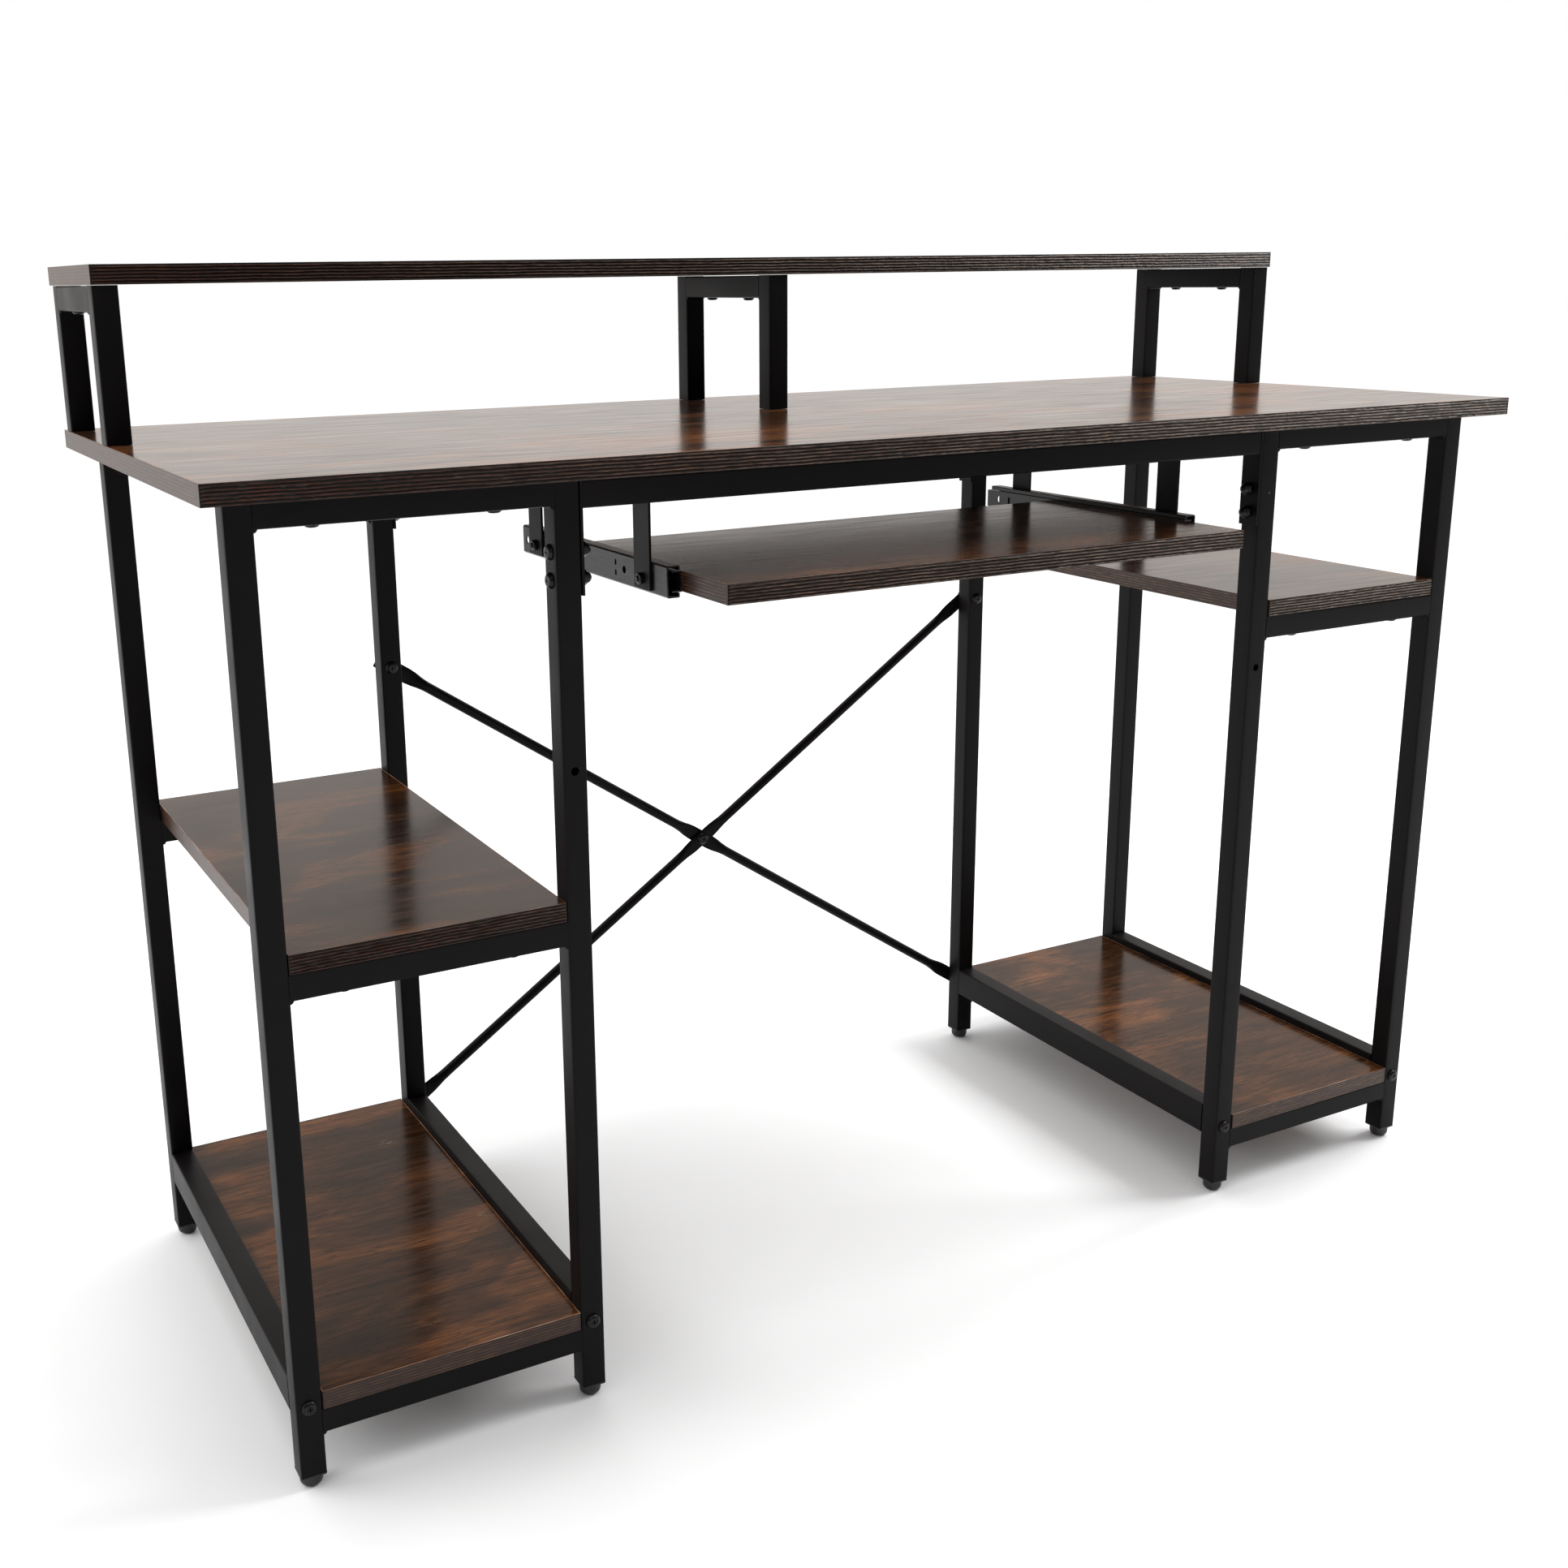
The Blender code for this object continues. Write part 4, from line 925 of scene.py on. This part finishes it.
def ballMaster():
    deselectAll()
    bpy.ops.mesh.primitive_ico_sphere_add(subdivisions=3, radius=cageLook["ballRadius"])
    ball = bpy.context.object
    smoothFaces(ball, 60)
    ball.name = "bearingBall"
    return ball


bearingBall = ballMaster()
for side, word in sides:
    body = word + "_cage"
    smoothSteel("ball_cage_" + word, bearingSteel, body)
    low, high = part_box("ball_cage_" + word)
    middle = (low + high) / 2
    ballX = side * (max(abs(low.x), abs(high.x)) - cageLook["ballInset"])
    first = middle.y - cageLook["spacing"] * (cageLook["balls"] - 1) / 2
    seats = [
        (ballX, first + number * cageLook["spacing"], middle.z + way * cageLook["ballRise"])
        for number in range(cageLook["balls"]) for way in (-1, 1)
    ]
    balls = joined([placedCopy(bearingBall, seat, (0, 0, 1)) for seat in seats])
    finishPiece(balls, "bearing_balls_" + word, bearingSteel, body)
print("ball cages made")

for master in (panHead, boltShank, capNut, hexNut, weldBead, footGlide, bearingBall):
    bpy.data.objects.remove(master)


# Camera, floor and soft light.
cameraLook = {
    "place": (-0.8431, -1.3410, 0.8774),
    "pitch": -0.2605, "roll": -0.0155, "heading": 0.4816,  # radians; heading 0 looks along +Y
    "lens": 40.42, "sensor": 36.0, "shift": (0.0635, -0.0243),
}


def makeCamera(look):
    camera = bpy.data.cameras.new("deskCamera")
    camera.lens, camera.sensor_width = look["lens"], look["sensor"]
    camera.shift_x, camera.shift_y = look["shift"]
    camera.clip_start, camera.clip_end = 0.05, 60.0
    rig = bpy.data.objects.new("deskCamera", camera)
    bpy.context.scene.collection.objects.link(rig)
    heading, pitch, roll = look["heading"], look["pitch"], look["roll"]
    flat = Vector((math.sin(heading), math.cos(heading), 0)) * math.cos(pitch)
    ahead = flat + Vector((0, 0, math.sin(pitch)))
    level = Vector((math.cos(heading), -math.sin(heading), 0))
    above = level.cross(ahead)
    right = math.cos(roll) * level + math.sin(roll) * above
    up = -math.sin(roll) * level + math.cos(roll) * above
    turn = Matrix((right, up, -ahead)).transposed().to_4x4()
    rig.matrix_world = Matrix.Translation(look["place"]) @ turn
    bpy.context.scene.camera = rig


makeCamera(cameraLook)

lampLook = {  # place, aim, size in metres, watts
    "overheadRight": ((2.6, -0.4, 2.5), (0.2, -0.1, 0.6), 1.6, 85),
    "leftPanel": ((-2.6, 0.9, 1.2), (-0.2, 0.0, 0.5), 1.8, 28),
}
for name, (place, aim, size, watts) in lampLook.items():
    lamp = bpy.data.lights.new(name, "AREA")
    lamp.shape, lamp.size, lamp.energy = "SQUARE", size, watts
    rig = bpy.data.objects.new(name, lamp)
    bpy.context.scene.collection.objects.link(rig)
    rig.location = place
    rig.rotation_euler = (Vector(aim) - Vector(place)).to_track_quat("-Z", "Y").to_euler()

ceilingLook = {"energy": 1.55, "degrees": 110, "height": 3}  # a wide even ceiling, for the floor
ceiling = bpy.data.lights.new("ceilingGlow", "SUN")
ceiling.energy, ceiling.angle = ceilingLook["energy"], math.radians(ceilingLook["degrees"])
ceilingRig = bpy.data.objects.new("ceilingGlow", ceiling)
bpy.context.scene.collection.objects.link(ceilingRig)
ceilingRig.location = (0, 0, ceilingLook["height"])

floorLook = {
    "size": 60.0, "roughness": 0.9, "specular": 0.1,
    "blotch": (0.5, 0.5, 0.5), "tones": [(0.3, "#F6F6F6"), (0.7, "#FAFAFA")],
}
deselectAll()
bpy.ops.mesh.primitive_grid_add(x_subdivisions=8, y_subdivisions=8, size=floorLook["size"])
studioFloor = bpy.context.object
studioFloor.name = "studioFloor"
floorPaint, floorTree, floorShader, floorCoords = startMaterial(
    "matPaleFloorPaint", Roughness=floorLook["roughness"]
)
floorShader.inputs["Specular IOR Level"].default_value = floorLook["specular"]
floorBlotch = grainNoise(floorTree, floorCoords, floorLook["blotch"])
floorTone = addNode(floorTree, "ValToRGB", {"Fac": floorBlotch}, floorLook["tones"])
floorTree.links.new(floorTone.outputs[0], floorShader.inputs["Base Color"])
studioFloor.data.materials.append(floorPaint)
studioFloor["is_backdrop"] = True

# a pale room: bright behind the desk, dimmer towards its front, and white where the camera sees it
roomLook = {"front": 0.10, "behind": 1.12, "turn": (-0.5, 0.5), "mirrored": "#FFF9F4"}
white = (1.0, 1.0, 1.0, 1.0)
world = bpy.data.worlds.new("paleStudio")
world.use_nodes = True
bpy.context.scene.world = world
worldTree = world.node_tree
backdrop = worldTree.nodes["Background"]
around = addNode(worldTree, "TexCoord").outputs["Generated"]
compass = addNode(worldTree, "SeparateXYZ", {"Vector": around})
spread = {
    "From Min": roomLook["turn"][0], "From Max": roomLook["turn"][1],
    "To Min": roomLook["front"], "To Max": roomLook["behind"],
}
northward = {"Value": compass.outputs["Y"], **spread}
behind = addNode(worldTree, "MapRange", northward, interpolation_type="SMOOTHSTEP")
path = addNode(worldTree, "LightPath")
mix = {"Fac": path.outputs["Is Camera Ray"], "Color1": behind, "Color2": white}
strength = addNode(worldTree, "MixRGB", mix)
worldTree.links.new(strength.outputs[0], backdrop.inputs["Strength"])
# what the glossy surfaces mirror is a little warmer, as painted walls are
warmer = linearColour(roomLook["mirrored"])
mix = {"Fac": path.outputs["Is Glossy Ray"], "Color1": white, "Color2": warmer}
mirrored = addNode(worldTree, "MixRGB", mix)
worldTree.links.new(mirrored.outputs[0], backdrop.inputs["Color"])
bpy.context.scene.view_settings.view_transform = "Standard"
print("camera, lights and floor ready")

low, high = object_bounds()
